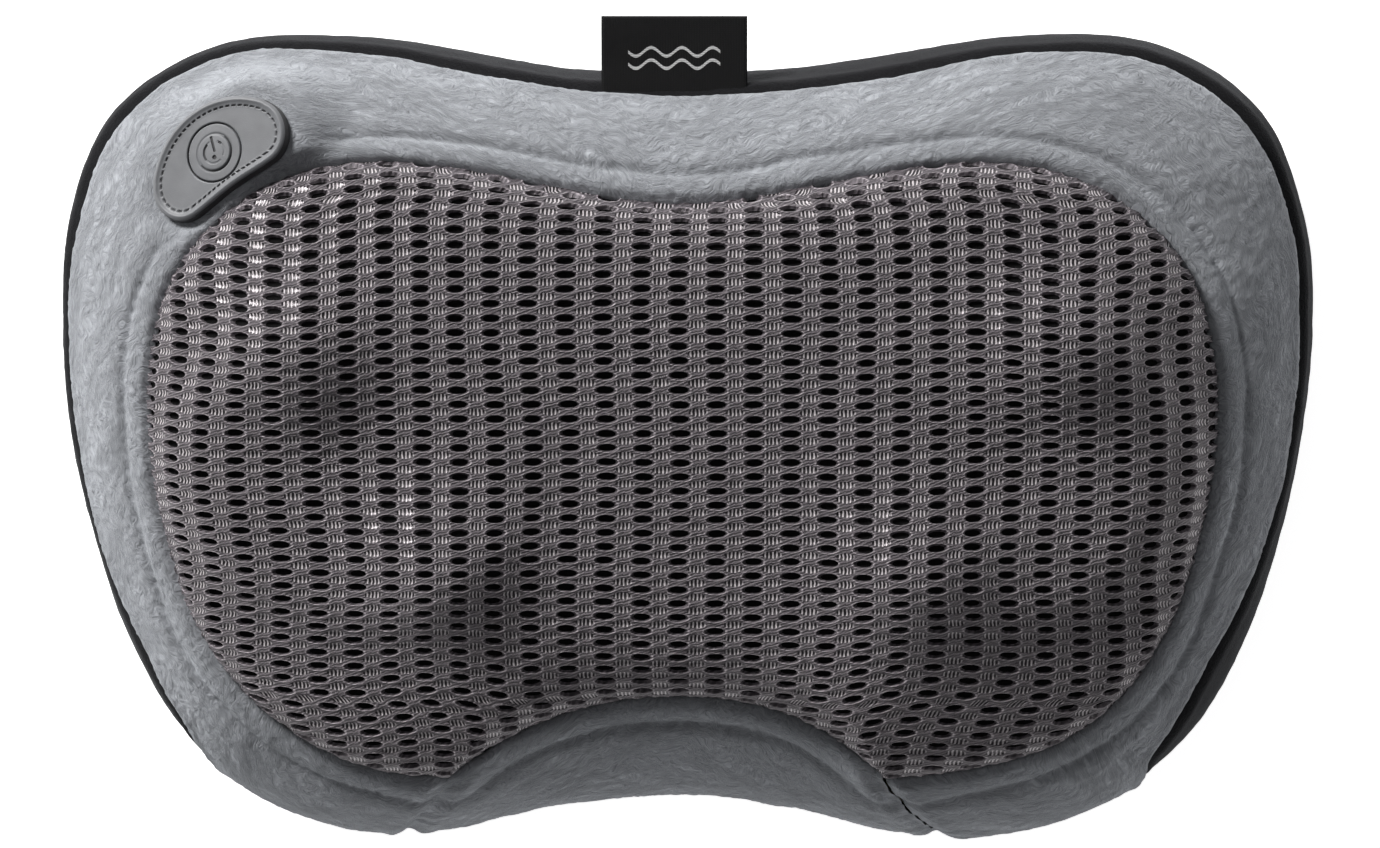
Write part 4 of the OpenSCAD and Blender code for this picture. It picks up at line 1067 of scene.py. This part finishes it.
lining = polar_sheet("lining_cloth", list(np.linspace(0.03, 0.972, 70)), lambda a: M(a), lining_z, LINING, 300)
ride(lining, "cushion", ["inner_lining"])

# ----------------------------------------------------------------------------
# Tag: black satin tape folded over, with two plain woven wave lines
# ----------------------------------------------------------------------------
def mat_tag():
    base = (0.004, 0.004, 0.0043)
    m = Mat("tag_satin", base, 0.62, Specular_IOR_Level=0.15)
    uv = m.coords("UV")
    sp = m.add("ShaderNodeSeparateXYZ")
    m.link(uv, sp.inputs[0])
    rib = m.math("SINE", m.math("MULTIPLY", sp.outputs["X"], 2 * math.pi / 0.42))
    pick = m.math("SINE", m.math("MULTIPLY", sp.outputs["Y"], 2 * math.pi / 0.5))
    h = m.math("MULTIPLY_ADD", m.math("MULTIPLY", rib, pick), 0.35, m.math("MULTIPLY_ADD", rib, 0.3, 0.5))
    dark = m.ramp(h, [(0.1, scaled(base, 0.5)), (0.9, scaled(base, 2.4))])
    wavey = m.math("MULTIPLY", m.math("SINE", m.math("MULTIPLY", sp.outputs["X"], 2 * math.pi / 8.0)), 1.1)
    mask = None
    for off in (8.4, 11.6):
        d = m.math("ABSOLUTE", m.math("SUBTRACT", m.math("SUBTRACT", sp.outputs["Y"], off), wavey))
        w = m.math("LESS_THAN", d, 0.42)
        mask = w if mask is None else m.math("MAXIMUM", mask, w)
    inside = m.math("LESS_THAN", m.math("ABSOLUTE", sp.outputs["X"]), 12.0)
    mask = m.math("MULTIPLY", mask, inside)
    thread = m.ramp(pick, [(0.0, (0.45, 0.45, 0.45)), (1.0, (0.8, 0.8, 0.8))])
    m.color(m.mix(mask, dark, thread))
    m.bump(m.math("MULTIPLY_ADD", mask, 0.8, h), 0.6, 0.00035)
    return m.m


def make_tag():
    x0, x1, y0, y1, zb, t = -21.5, 16.5, 90.6, 111.5, 52.0, 1.4
    xs = np.linspace(x0, x1, 96)
    n1, n2 = 34, 12
    prof = [(y0 + (y1 - t / 2 - y0) * k / n1, t / 2, 1) for k in range(n1 + 1)]
    prof += [(y1 - t / 2 + t / 2 * math.sin(math.pi * k / n2), t / 2 * math.cos(math.pi * k / n2), 1) for k in range(1, n2)]
    prof += [(y0 + (y1 - t / 2 - y0) * (1 - k / n1), -t / 2, -1) for k in range(n1 + 1)]
    # inner side of the folded tape
    g = 0.13
    prof += [(y0 + (y1 - 0.9 - y0) * k / n1, -g, -1) for k in range(n1 + 1)]
    prof += [(y0 + (y1 - 0.9 - y0) * (1 - k / n1), g, 1) for k in range(n1 + 1)]
    prof = np.array(prof)
    nr = len(prof)
    X, _ = np.meshgrid(xs, np.arange(nr), indexing="xy")
    Y = prof[:, 0][:, None].repeat(len(xs), 1)
    Z = prof[:, 1][:, None].repeat(len(xs), 1)
    bow = 0.22 * vnoise(X / 12, Y / 9, 0, 71) * smooth(Y, 93.5, 99)
    edge = np.minimum(X - x0, x1 - X)
    Z = Z * (0.72 + 0.28 * smooth(edge, 0.0, 0.7))
    stitch = 0.0
    G = np.stack([X, Y, zb + t / 2 + Z + bow], -1)
    UV = np.stack([X + 2.5, Y - y0], -1).reshape(-1, 2)
    nx = len(xs)
    F = [tuple(f) for f in grid_faces(nr, nx, wrap_r=True)]
    # close the two cut ends
    F += [tuple(k * nx for k in range(nr)), tuple(k * nx + nx - 1 for k in range(nr))]
    o = new_mesh("tag_tape", G.reshape(-1, 3), F, mat_tag(), uv=UV)
    import bmesh
    bm = bmesh.new()
    bm.from_mesh(o.data)
    bmesh.ops.recalc_face_normals(bm, faces=bm.faces)
    bm.to_mesh(o.data)
    bm.free()
    return ride(o, "cushion", ["label_tag"])


tag = make_tag()

# ----------------------------------------------------------------------------
# Rubber badge with stitched-look groove, and the power button in its middle
# ----------------------------------------------------------------------------
def mat_rubber(name, base, rough=0.5):
    m = Mat(name, base, rough, Specular_IOR_Level=0.42, Sheen_Weight=0.05)
    co = m.coords("Object", scale=(1000, 1000, 1000))
    g = m.noise(co, 3.5, 3, 0.6)
    d = m.noise(co, 0.16, 3, 0.55)
    m.color(m.ramp(d, [(0.3, scaled(base, 0.88)), (0.7, scaled(base, 1.1))]))
    m.rough(m.math("MULTIPLY_ADD", g, 0.14, rough - 0.07))
    m.bump(g, 0.18, 0.0002)
    return m.m


RUBBER = mat_rubber("badge_rubber", (0.118, 0.122, 0.13), 0.46)
# near-black rubber: the button's power mark, and painted shade on the badge's walls, edge and grooves
RUBBER_MARK_AND_SHADE = mat_rubber("badge_marks_and_painted_shade", (0.018, 0.018, 0.02), 0.6)


def badge_outline(n=540):
    # two end circles, a big arc on one side and a nearly straight, slightly hollow edge on the other
    ex, ey, er = 12.7, -2.3, 7.9
    yc = -13.05
    Rb = 11.7 - yc
    tx, ty = ex, ey - yc
    L = math.hypot(tx, ty)
    phi = math.atan2(ty, tx)
    pts = []
    for t in np.linspace(math.pi - phi, phi, 80):
        pts.append((Rb * math.cos(t), yc + Rb * math.sin(t)))
    for t in np.linspace(phi, -math.pi / 2, 50):
        pts.append((ex + er * math.cos(t), ey + er * math.sin(t)))
    for x in np.linspace(ex, -ex, 50)[1:-1]:
        pts.append((x, ey - er + 0.55 * math.cos(math.pi * x / ex / 2) ** 2))
    for t in np.linspace(-math.pi / 2, -math.pi - (math.pi - (math.pi - phi)) * -1 - 2 * phi, 50):
        pts.append((-ex + er * math.cos(t), ey + er * math.sin(t)))
    P = np.array(pts + pts[:1])
    th = np.arange(n) / n * 2 * np.pi
    out = np.zeros(n)
    for i, t in enumerate(th):
        d = np.array([math.cos(t), math.sin(t)])
        nrm = np.array([-d[1], d[0]])
        s = P @ nrm
        best = 0
        for j in range(len(P) - 1):
            if (s[j] <= 0) != (s[j + 1] <= 0):
                f = s[j] / (s[j] - s[j + 1])
                q = P[j] + (P[j + 1] - P[j]) * f
                if q @ d > best:
                    best = q @ d
        out[i] = best
    for _ in range(4):
        out = 0.25 * np.roll(out, 1) + 0.5 * out + 0.25 * np.roll(out, -1)
    return th, out


def from_badge(x, y, z, turn=BADGE_ROT):
    c, s = math.cos(math.radians(turn)), math.sin(math.radians(turn))
    L = np.stack([x * c - y * s, x * s + y * c, z], -1)
    return L @ BROT.T + B0


def make_badge():
    th, out = badge_outline()
    n = len(th)
    hole = BUTTON_R + 0.25
    # the outline leans a little flatter than the frame under it and is a touch broader
    k, w = math.radians(-3.5), 1.11
    ox, oy = out * np.cos(th), out * np.sin(th) * w
    ox, oy = ox * math.cos(k) - oy * math.sin(k), ox * math.sin(k) + oy * math.cos(k)
    ta = np.unwrap(np.arctan2(oy, ox))
    out = np.interp(th, np.concatenate([ta - 2 * np.pi, ta, ta + 2 * np.pi]), np.tile(np.hypot(ox, oy), 3))
    poly = np.stack([out * np.cos(th), out * np.sin(th)], -1)
    perim = np.concatenate([[0], np.cumsum(np.linalg.norm(np.diff(poly, axis=0), axis=1))])
    total = perim[-1] + np.linalg.norm(poly[0] - poly[-1])
    count = round(total / 2.12)
    dash = 0.5 + 0.5 * np.tanh(4.5 * (np.cos(2 * np.pi * perim / total * count) + 0.35))
    nt = 72
    T = np.linspace(0, 1, nt) ** 1.1
    R = out[None] * (1 - T[:, None]) + hole * T[:, None]
    X, Y = R * np.cos(th), R * np.sin(th)
    D = -poly_dist(poly[::2], X, Y)
    D[0] = 0
    rho = np.hypot(X, Y)
    h = 1.9 + 0.75 * np.sqrt(np.clip(1 - (1 - np.clip(D / 0.6, 0, 1)) ** 2, 0, 1))
    h += 0.38 * np.exp(-((D - 1.05) / 0.6) ** 2)
    groove = smooth(np.abs(D - 2.5), 0.34, 0.14)
    h -= groove * 0.34 * dash[None]
    h -= 0.16 * smooth(D, 1.7, 3.4)
    h -= 0.18 * smooth(rho, hole + 0.25, hole)
    # near-black in the groove's dashes and along the face's outer edge; on the edge it is painted shadow
    dark_dashes_and_rim_shade = (groove * dash[None] > 0.45) | (D < 0.12)
    rows = [from_badge(X[k], Y[k], h[k]) for k in range(nt)]
    # side wall, closed bottom and the wall of the hole
    wall = [from_badge(poly[:, 0] * s, poly[:, 1] * s, np.full(n, z)) for s, z in ((0.985, -0.5), (1.0, -0.1), (1.004, 0.7))]
    inner = [from_badge(hole * np.cos(th), hole * np.sin(th), np.full(n, z)) for z in (1.0, -0.2)]
    G = np.array(wall + rows + inner)
    nr = len(G)
    F = grid_faces(nr, n, wrap_c=True, wrap_r=True)
    rowi = np.repeat(np.arange(nr), n)
    # the side wall, the hole's wall and the dark faces above take the near-black rubber; on the walls it is painted
    # shadow
    wall_shade_and_dark_dash_faces = (rowi < 3) | (rowi >= nr - 3)
    dark_dashes_and_rim_shade_faces = np.zeros((nr, n), bool)
    dark_dashes_and_rim_shade_faces[3:3 + nt - 1] = (dark_dashes_and_rim_shade[:-1] & dark_dashes_and_rim_shade[1:]) | (dark_dashes_and_rim_shade[:-1] & np.roll(dark_dashes_and_rim_shade, -1, 1)[1:])
    wall_shade_and_dark_dash_faces |= dark_dashes_and_rim_shade_faces.ravel()
    o = new_mesh("badge_pad", G.reshape(-1, 3), F[:, ::-1], [RUBBER, RUBBER_MARK_AND_SHADE], mat_idx=np.where(wall_shade_and_dark_dash_faces, 1, 0))
    import bmesh
    bm = bmesh.new()
    bm.from_mesh(o.data)
    bmesh.ops.recalc_face_normals(bm, faces=bm.faces)
    bm.to_mesh(o.data)
    bm.free()
    return ride(o, "cushion", ["switch_badge"])


badge = make_badge()


def make_button():
    n = 224
    th = np.arange(n) / n * 2 * np.pi
    rr = np.concatenate([np.linspace(0.06, 6.6, 88), np.linspace(6.68, 7.55, 12)])
    Rr, Th = np.meshgrid(rr, th, indexing="ij")
    X, Y = Rr * np.cos(Th), Rr * np.sin(Th)
    h = 2.5 + 0.12 * (1 - (Rr / 7.55) ** 2)
    h -= 0.35 * np.clip((Rr - 7.2) / 0.35, 0, 1) ** 2
    # ring groove, deeper to one side
    lean = 0.5 + 0.5 * np.cos(Th - math.radians(-40))
    h -= (0.12 + 0.5 * lean) * np.exp(-((Rr - 4.85) / 0.3) ** 2)
    # power mark: a broken ring, a leaning bar and a dot
    def bar(ax, ay, bx, by, w):
        dx, dy = bx - ax, by - ay
        t = np.clip(((X - ax) * dx + (Y - ay) * dy) / (dx * dx + dy * dy), 0, 1)
        return smooth(np.hypot(X - ax - t * dx, Y - ay - t * dy), w + 0.12, w - 0.06)
    ring = smooth(np.abs(Rr - 2.9), 0.36, 0.2)
    ang = (np.degrees(Th) + 360) % 360
    gap = ((ang > 78) & (ang < 118)) | ((ang > 318) & (ang < 342))
    ring = np.where(gap, 0, ring)
    strong = ((ang > 138) & (ang < 222)) | ((ang > 50) & (ang < 70))
    ring = np.where(strong, ring, 0.35 * ring)
    mark = np.maximum.reduce([ring, bar(-1.15, 3.9, 0.1, 0.35, 0.27), smooth(np.hypot(X - 0.2, Y + 1.35), 0.66, 0.45)])
    h -= 0.34 * mark
    top = [from_badge(X[k], Y[k], h[k], 0) for k in range(len(rr))]
    low_rows = [from_badge(r * np.cos(th), r * np.sin(th), np.full(n, z), 0) for r, z in ((7.6, 1.2), (7.6, 0.25), (7.5, 0.2), (3.05, 0.2), (3.0, -1.55), (2.9, -1.62), (0.3, -1.65))]
    G = np.array(top + low_rows)
    nr = len(G)
    V = np.concatenate([G.reshape(-1, 3), from_badge(np.array([0.0]), np.array([0.0]), np.array([float(h[0].mean())]), 0), from_badge(np.array([0.0]), np.array([0.0]), np.array([-1.65]), 0)], 0)
    F = [tuple(f) for f in grid_faces(nr, n, wrap_c=True)]
    mi = []
    # the power mark and the deeper side of the ring groove take the near-black rubber; on the groove it is painted
    # shade
    mark_and_groove_shade = np.maximum(mark, np.where((np.abs(Rr - 4.85) < 0.24) & (lean > 0.42), 1.0, 0.0))
    for r in range(nr - 1):
        for c in range(n):
            mi.append(1 if r < len(rr) - 1 and (mark_and_groove_shade[r, c] + mark_and_groove_shade[r + 1, c]) > 1.1 else 0)
    F += [(len(V) - 2, (k + 1) % n, k) for k in range(n)]
    F += [(len(V) - 1, (nr - 1) * n + k, (nr - 1) * n + (k + 1) % n) for k in range(n)]
    mi += [0] * (2 * n)
    o = new_mesh("button_cap", V, F, [RUBBER, RUBBER_MARK_AND_SHADE], mat_idx=mi)
    import bmesh
    bm = bmesh.new()
    bm.from_mesh(o.data)
    bmesh.ops.recalc_face_normals(bm, faces=bm.faces)
    bm.to_mesh(o.data)
    bm.free()
    return ride(o, "button", ["power_button"])


button = make_button()

# ----------------------------------------------------------------------------
# Zip tape and coil
# ----------------------------------------------------------------------------
def zp(z, off):
    return 206.8 + 2.6 + 2.4 + (z - 16.0) * -0.275 - off


def zip_point(t, z, off):
    """t in degrees along the lower edge from its middle."""
    r = zp(z, off)
    return np.stack([r * np.sin(np.radians(t)), -302.3 + r * np.cos(np.radians(t)), z + 0 * r], -1)


def make_zip():
    t = np.linspace(-16, 16, 420)
    zs = np.concatenate([np.linspace(9.0, 23.4, 40)])
    Tt, Zz = np.meshgrid(t, zs, indexing="xy")
    arc_l = np.radians(Tt) * 210
    h = 1.28 + 0.05 * np.cos(2 * np.pi * Zz / 0.8) * np.cos(2 * np.pi * arc_l / 0.9)
    for zz in (10.4, 22.0):
        h += 0.22 * np.exp(-((Zz - zz) / 0.3) ** 2) * (0.5 + 0.5 * np.tanh(4 * np.cos(2 * np.pi * arc_l / 2.6)))
    for zz in (13.0, 19.0):
        h += 0.16 * np.exp(-((Zz - zz) / 0.35) ** 2)
    top = zip_point(Tt, Zz, h)
    bot = zip_point(Tt, Zz, 0.72 + 0 * Zz)
    G = np.concatenate([top, bot[::-1]], 0)
    nr, nx = len(G), len(t)
    F = [tuple(f) for f in grid_faces(nr, nx, wrap_r=True)]
    F += [tuple(k * nx for k in range(nr)), tuple(k * nx + nx - 1 for k in range(nr))]
    m = mat_woven("zip_tape_cloth", (0.016, 0.016, 0.018), 0.6, 0.75, 1.8, 0.3)
    o = new_mesh("zip_tape_cloth", G.reshape(-1, 3), F, m)
    import bmesh
    bm = bmesh.new()
    bm.from_mesh(o.data)
    bmesh.ops.recalc_face_normals(bm, faces=bm.faces)
    bm.to_mesh(o.data)
    bm.free()
    ride(o, "cushion", ["zipper_tape"])
    # coil: rounded hooks from both sides, meeting in the middle
    V, Fc = [], []
    pitch = 1.3 / 210 * 180 / math.pi
    k = 0
    tt = -15.8
    nu, nv = 8, 6
    while tt < 15.8:
        s = 1 if k % 2 else -1
        zc = 16.0 + s * 1.05
        base = len(V)
        for i in range(nv + 1):
            ph = math.pi * i / nv
            for j in range(nu):
                lm = 2 * math.pi * j / nu
                sq = lambda v, e=0.55: math.copysign(abs(v) ** e, v)
                dx = 0.56 * sq(math.sin(ph)) * sq(math.cos(lm))
                dz = 1.5 * sq(math.cos(ph))
                do = 0.58 * sq(math.sin(ph)) * sq(math.sin(lm))
                V.append(zip_point(np.array(tt + dx / 210 * 180 / math.pi), np.array(zc + dz), np.array(2.0 + do)))
        for i in range(nv):
            for j in range(nu):
                a = base + i * nu + j
                b = base + i * nu + (j + 1) % nu
                Fc.append((a, b, b + nu, a + nu))
        tt += pitch / 1.0
        k += 1
    zm = mat_plastic("zip_coil", (0.028, 0.028, 0.03), 0.38, 0.2, 4.0, 0.5)
    o2 = new_mesh("zip_teeth", np.array(V), Fc, zm)
    bm = bmesh.new()
    bm.from_mesh(o2.data)
    bmesh.ops.remove_doubles(bm, verts=bm.verts, dist=0.00001)
    bmesh.ops.recalc_face_normals(bm, faces=bm.faces)
    bm.to_mesh(o2.data)
    bm.free()
    ride(o2, "cushion", ["zipper_chain"])
    return o, o2


zip_tape, zip_teeth = make_zip()

# ----------------------------------------------------------------------------
# Foam parts: softened copies with an open-cell finish
# ----------------------------------------------------------------------------
def mat_foam():
    base = (0.72, 0.66, 0.46)
    m = Mat("foam_cells", base, 0.95, Specular_IOR_Level=0.1, Subsurface_Weight=0.0)
    co = m.coords("Object", scale=(1000, 1000, 1000))
    v = m.voronoi(co, 0.9)
    n = m.noise(co, 0.08, 3, 0.5)
    c = m.ramp(v, [(0.05, scaled(base, 0.45)), (0.35, base), (0.8, scaled(base, 1.12))])
    m.color(m.mix(m.math("MULTIPLY", n, 0.4), c, (0.66, 0.56, 0.33)))
    m.bump(v, 0.8, 0.0006)
    return m.m


FOAM = mat_foam()


def soften(node, name, voxel):
    src = NODES[node]
    o = bpy.data.objects.new(name, src.data.copy())
    scene.collection.objects.link(o)
    mod = o.modifiers.new("Remesh", "REMESH")
    mod.mode = "VOXEL"
    mod.voxel_size = voxel
    mod.use_smooth_shade = True
    sm = o.modifiers.new("Smooth", "SMOOTH")
    sm.factor = 0.5
    sm.iterations = 4
    dg = bpy.context.evaluated_depsgraph_get()
    me = bpy.data.meshes.new_from_object(o.evaluated_get(dg))
    o.modifiers.clear()
    o.data = me
    me.materials.clear()
    me.materials.append(FOAM)
    for p in me.polygons:
        p.use_smooth = True
    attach(o, "cushion")
    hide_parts(node)
    return o


foam_a = soften("foam_surround", "foam_core", 0.0028)
foam_b = soften("back_foam_pad", "foam_back_layer", 0.0016)

# ----------------------------------------------------------------------------
# Finishes of the parts inside, by the record's slot
# ----------------------------------------------------------------------------
def mat_pcb():
    base = (0.015, 0.13, 0.055)
    m = Mat("solder_mask", base, 0.28, Specular_IOR_Level=0.55, Coat_Weight=0.2)
    co = m.coords("Object", scale=(1000, 1000, 1000))
    br = m.add("ShaderNodeTexBrick")
    br.inputs["Scale"].default_value = 0.28
    br.inputs["Mortar Size"].default_value = 0.05
    br.inputs["Color1"].default_value = (*scaled(base, 1.35), 1)
    br.inputs["Color2"].default_value = (*base, 1)
    br.inputs["Mortar"].default_value = (*scaled(base, 0.6), 1)
    m.link(co, br.inputs["Vector"])
    n = m.noise(co, 0.3, 2, 0.5)
    m.color(m.mix(m.math("MULTIPLY", n, 0.5), br.outputs["Color"], base))
    m.bump(n, 0.1, 0.0002)
    return m.m


def mat_winding():
    m = Mat("enamel_winding", (0.55, 0.24, 0.1), 0.35, Metallic=0.85)
    co = m.coords("Object", scale=(1000, 1000, 1000))
    w = m.wave(co, 1.6, "Y", "SIN", 0.5)
    n = m.noise(co, 0.9, 2, 0.5)
    m.color(m.ramp(m.math("MULTIPLY_ADD", n, 0.3, m.math("MULTIPLY", w, 0.7)), [(0.1, (0.22, 0.07, 0.03)), (0.8, (0.72, 0.34, 0.15))]))
    m.bump(w, 0.5, 0.0004)
    return m.m


FIN = {
    "steel": mat_metal("turned_steel", (0.6, 0.6, 0.61), 0.28, (1, 1, 14)),
    "motor_steel": mat_metal("zinc_plate", (0.56, 0.57, 0.58), 0.34, (1, 10, 1)),
    "bronze": mat_metal("sintered_bronze", (0.5, 0.33, 0.15), 0.48, (1, 1, 1), 0.3),
    "copper": mat_winding(),
    "magnet": mat_plastic("ferrite", (0.055, 0.055, 0.06), 0.7, 0.35, 2.0, 0.3),
    "black_plastic": mat_plastic("case_abs", (0.024, 0.024, 0.026), 0.5, 0.22, 3.0),
    "arm_plastic": mat_plastic("glass_nylon", (0.042, 0.042, 0.046), 0.58, 0.3, 1.6),
    "gear_plastic": mat_plastic("acetal", (0.7, 0.68, 0.62), 0.36, 0.1, 2.0, 0.5, 0.05),
    "node_plastic": mat_plastic("node_gloss", (0.5, 0.085, 0.06), 0.26, 0.08, 1.2, 0.55, 0.06),
    "washer_plastic": mat_plastic("nylon_washer", (0.76, 0.76, 0.73), 0.42, 0.12),
    "cell_wrap": mat_plastic("cell_sleeve", (0.04, 0.13, 0.33), 0.3, 0.1, 0.6, 0.55),
    "wire_red": mat_plastic("pvc_red", (0.42, 0.025, 0.025), 0.42, 0.12),
    "wire_black": mat_plastic("pvc_black", (0.018, 0.018, 0.019), 0.42, 0.12),
    "grey_rubber": RUBBER,
    "zip_metal": mat_metal("zip_painted_zinc", (0.05, 0.05, 0.055), 0.32, (1, 1, 1), 0.15, 0.6),
    "zip_plastic": mat_plastic("zip_nylon", (0.03, 0.03, 0.032), 0.4),
    "circuit_board": mat_pcb(),
    "foam": FOAM,
    "black_fabric": FUZZ,
    "plush": PLUSH,
    "mesh_fabric": YARN,
    "lining_fabric": LINING,
    "tag_fabric": BACKCLOTH,
    "zip_tape": BACKCLOTH,
}
left_plain = []
for name, o in NODES.items():
    for sl in o.material_slots:
        key = sl.material.name.split(".")[0] if sl.material else ""
        if key in FIN:
            sl.material = FIN[key]
        else:
            left_plain.append((name, key))
print("slots without a finish:", left_plain)


# cloth areas of the soft pieces, printed ------------------------------------------------------
def cloth_area(o):
    a = np.zeros(len(o.data.polygons), np.float32)
    o.data.polygons.foreach_get("area", a)
    return float(a.sum())


def sheet(o, w, l, share=1.0):
    area = min(cloth_area(o) * share, w * l)
    print("sheet", o.name, round(area, 5), "of", w * l)


sheet(border, 0.38, 0.27, 0.97)
sheet(lower_c, 0.17, 0.075, 0.97)
sheet(mesh_l, 0.15, 0.19, 0.72)
sheet(mesh_r, 0.15, 0.19, 0.72)
sheet(gusset, 0.93, 0.072, 0.97)
sheet(back_panel, 0.31, 0.2, 1.0)
sheet(lining, 0.28, 0.175, 1.0)
sheet(tag, 0.038, 0.044, 0.5)
sheet(zip_tape, 0.118, 0.0146, 0.5)

CAM_AX, CAM_AY, CAM_TILT_X, CAM_TILT_Y = 1.2, 3.2, 1.5, 6.0

# ----------------------------------------------------------------------------
# Camera, light and floor
# ----------------------------------------------------------------------------
def vec(x, y, z):
    return Vector((x, y + SHIFT, z)) * 0.001


target = vec(CAM_AX, CAM_AY, 38)
D, LENS = 1107.0, 108.4
ay, ax = math.radians(CAM_TILT_Y), math.radians(CAM_TILT_X)
back = Vector((math.sin(ax), math.sin(ay), math.sqrt(max(0, 1 - math.sin(ax) ** 2 - math.sin(ay) ** 2))))
cam_d = bpy.data.cameras.new("camera")
cam = bpy.data.objects.new("camera", cam_d)
scene.collection.objects.link(cam)
cam_d.lens = LENS
cam_d.sensor_width = 36
cam_d.clip_start, cam_d.clip_end = 0.05, 20
cam.location = target + back * D * 0.001
z_ax = back.normalized()
x_ax = Vector((0, 1, 0)).cross(z_ax).normalized()
y_ax = z_ax.cross(x_ax)
cam.matrix_world = Matrix.Translation(cam.location) @ Matrix((x_ax, y_ax, z_ax)).transposed().to_4x4()
scene.camera = cam

floor_m = bpy.data.materials.new("floor")
floor_m.use_nodes = True
fb = floor_m.node_tree.nodes["Principled BSDF"]
fb.inputs["Base Color"].default_value = (0.93, 0.93, 0.93, 1)
fb.inputs["Roughness"].default_value = 0.9
fb.inputs["Emission Color"].default_value = (1, 1, 1, 1)
fb.inputs["Emission Strength"].default_value = 0.9
me = bpy.data.meshes.new("floor")
me.from_pydata([(-4, -4, 0), (4, -4, 0), (4, 4, 0), (-4, 4, 0)], [], [(0, 1, 2, 3)])
me.materials.append(floor_m)
floor = bpy.data.objects.new("floor", me)
floor.location = (0, 0, -0.0004)
scene.collection.objects.link(floor)


def area(name, loc, size, power, color=(1, 1, 1), aim=(0, 0, 0.05)):
    d = bpy.data.lights.new(name, "AREA")
    d.shape = "RECTANGLE"
    d.size, d.size_y = size
    d.energy = power
    d.color = color
    o = bpy.data.objects.new(name, d)
    o.location = loc
    dirv = Vector(aim) - Vector(loc)
    o.rotation_euler = dirv.to_track_quat("-Z", "Y").to_euler()
    scene.collection.objects.link(o)
    return o


area("key", (-1.02, 1.22, 0.74), (0.55, 0.5), 43, (1.0, 0.99, 0.98))
area("top", (-0.35, 0.45, 1.9), (1.0, 0.8), 3.2)
area("fill", (1.4, -0.7, 0.9), (1.2, 1.0), 0.35, (0.97, 0.98, 1.0))
world = bpy.data.worlds.new("studio")
scene.world = world
world.use_nodes = True
wt = world.node_tree
wg = wt.nodes.new("ShaderNodeTexCoord")
ws = wt.nodes.new("ShaderNodeSeparateXYZ")
wt.links.new(wg.outputs["Generated"], ws.inputs[0])
wr = wt.nodes.new("ShaderNodeValToRGB")
wr.color_ramp.elements[0].position = 0.12
wr.color_ramp.elements[0].color = (0.93, 0.93, 0.935, 1)
wr.color_ramp.elements[1].position = 0.33
wr.color_ramp.elements[1].color = (0.07, 0.07, 0.072, 1)
wt.links.new(ws.outputs["Z"], wr.inputs["Fac"])
wt.links.new(wr.outputs["Color"], wt.nodes["Background"].inputs["Color"])
wt.nodes["Background"].inputs["Strength"].default_value = 1.0
scene.view_settings.view_transform = "Standard"
scene.view_settings.look = "None"
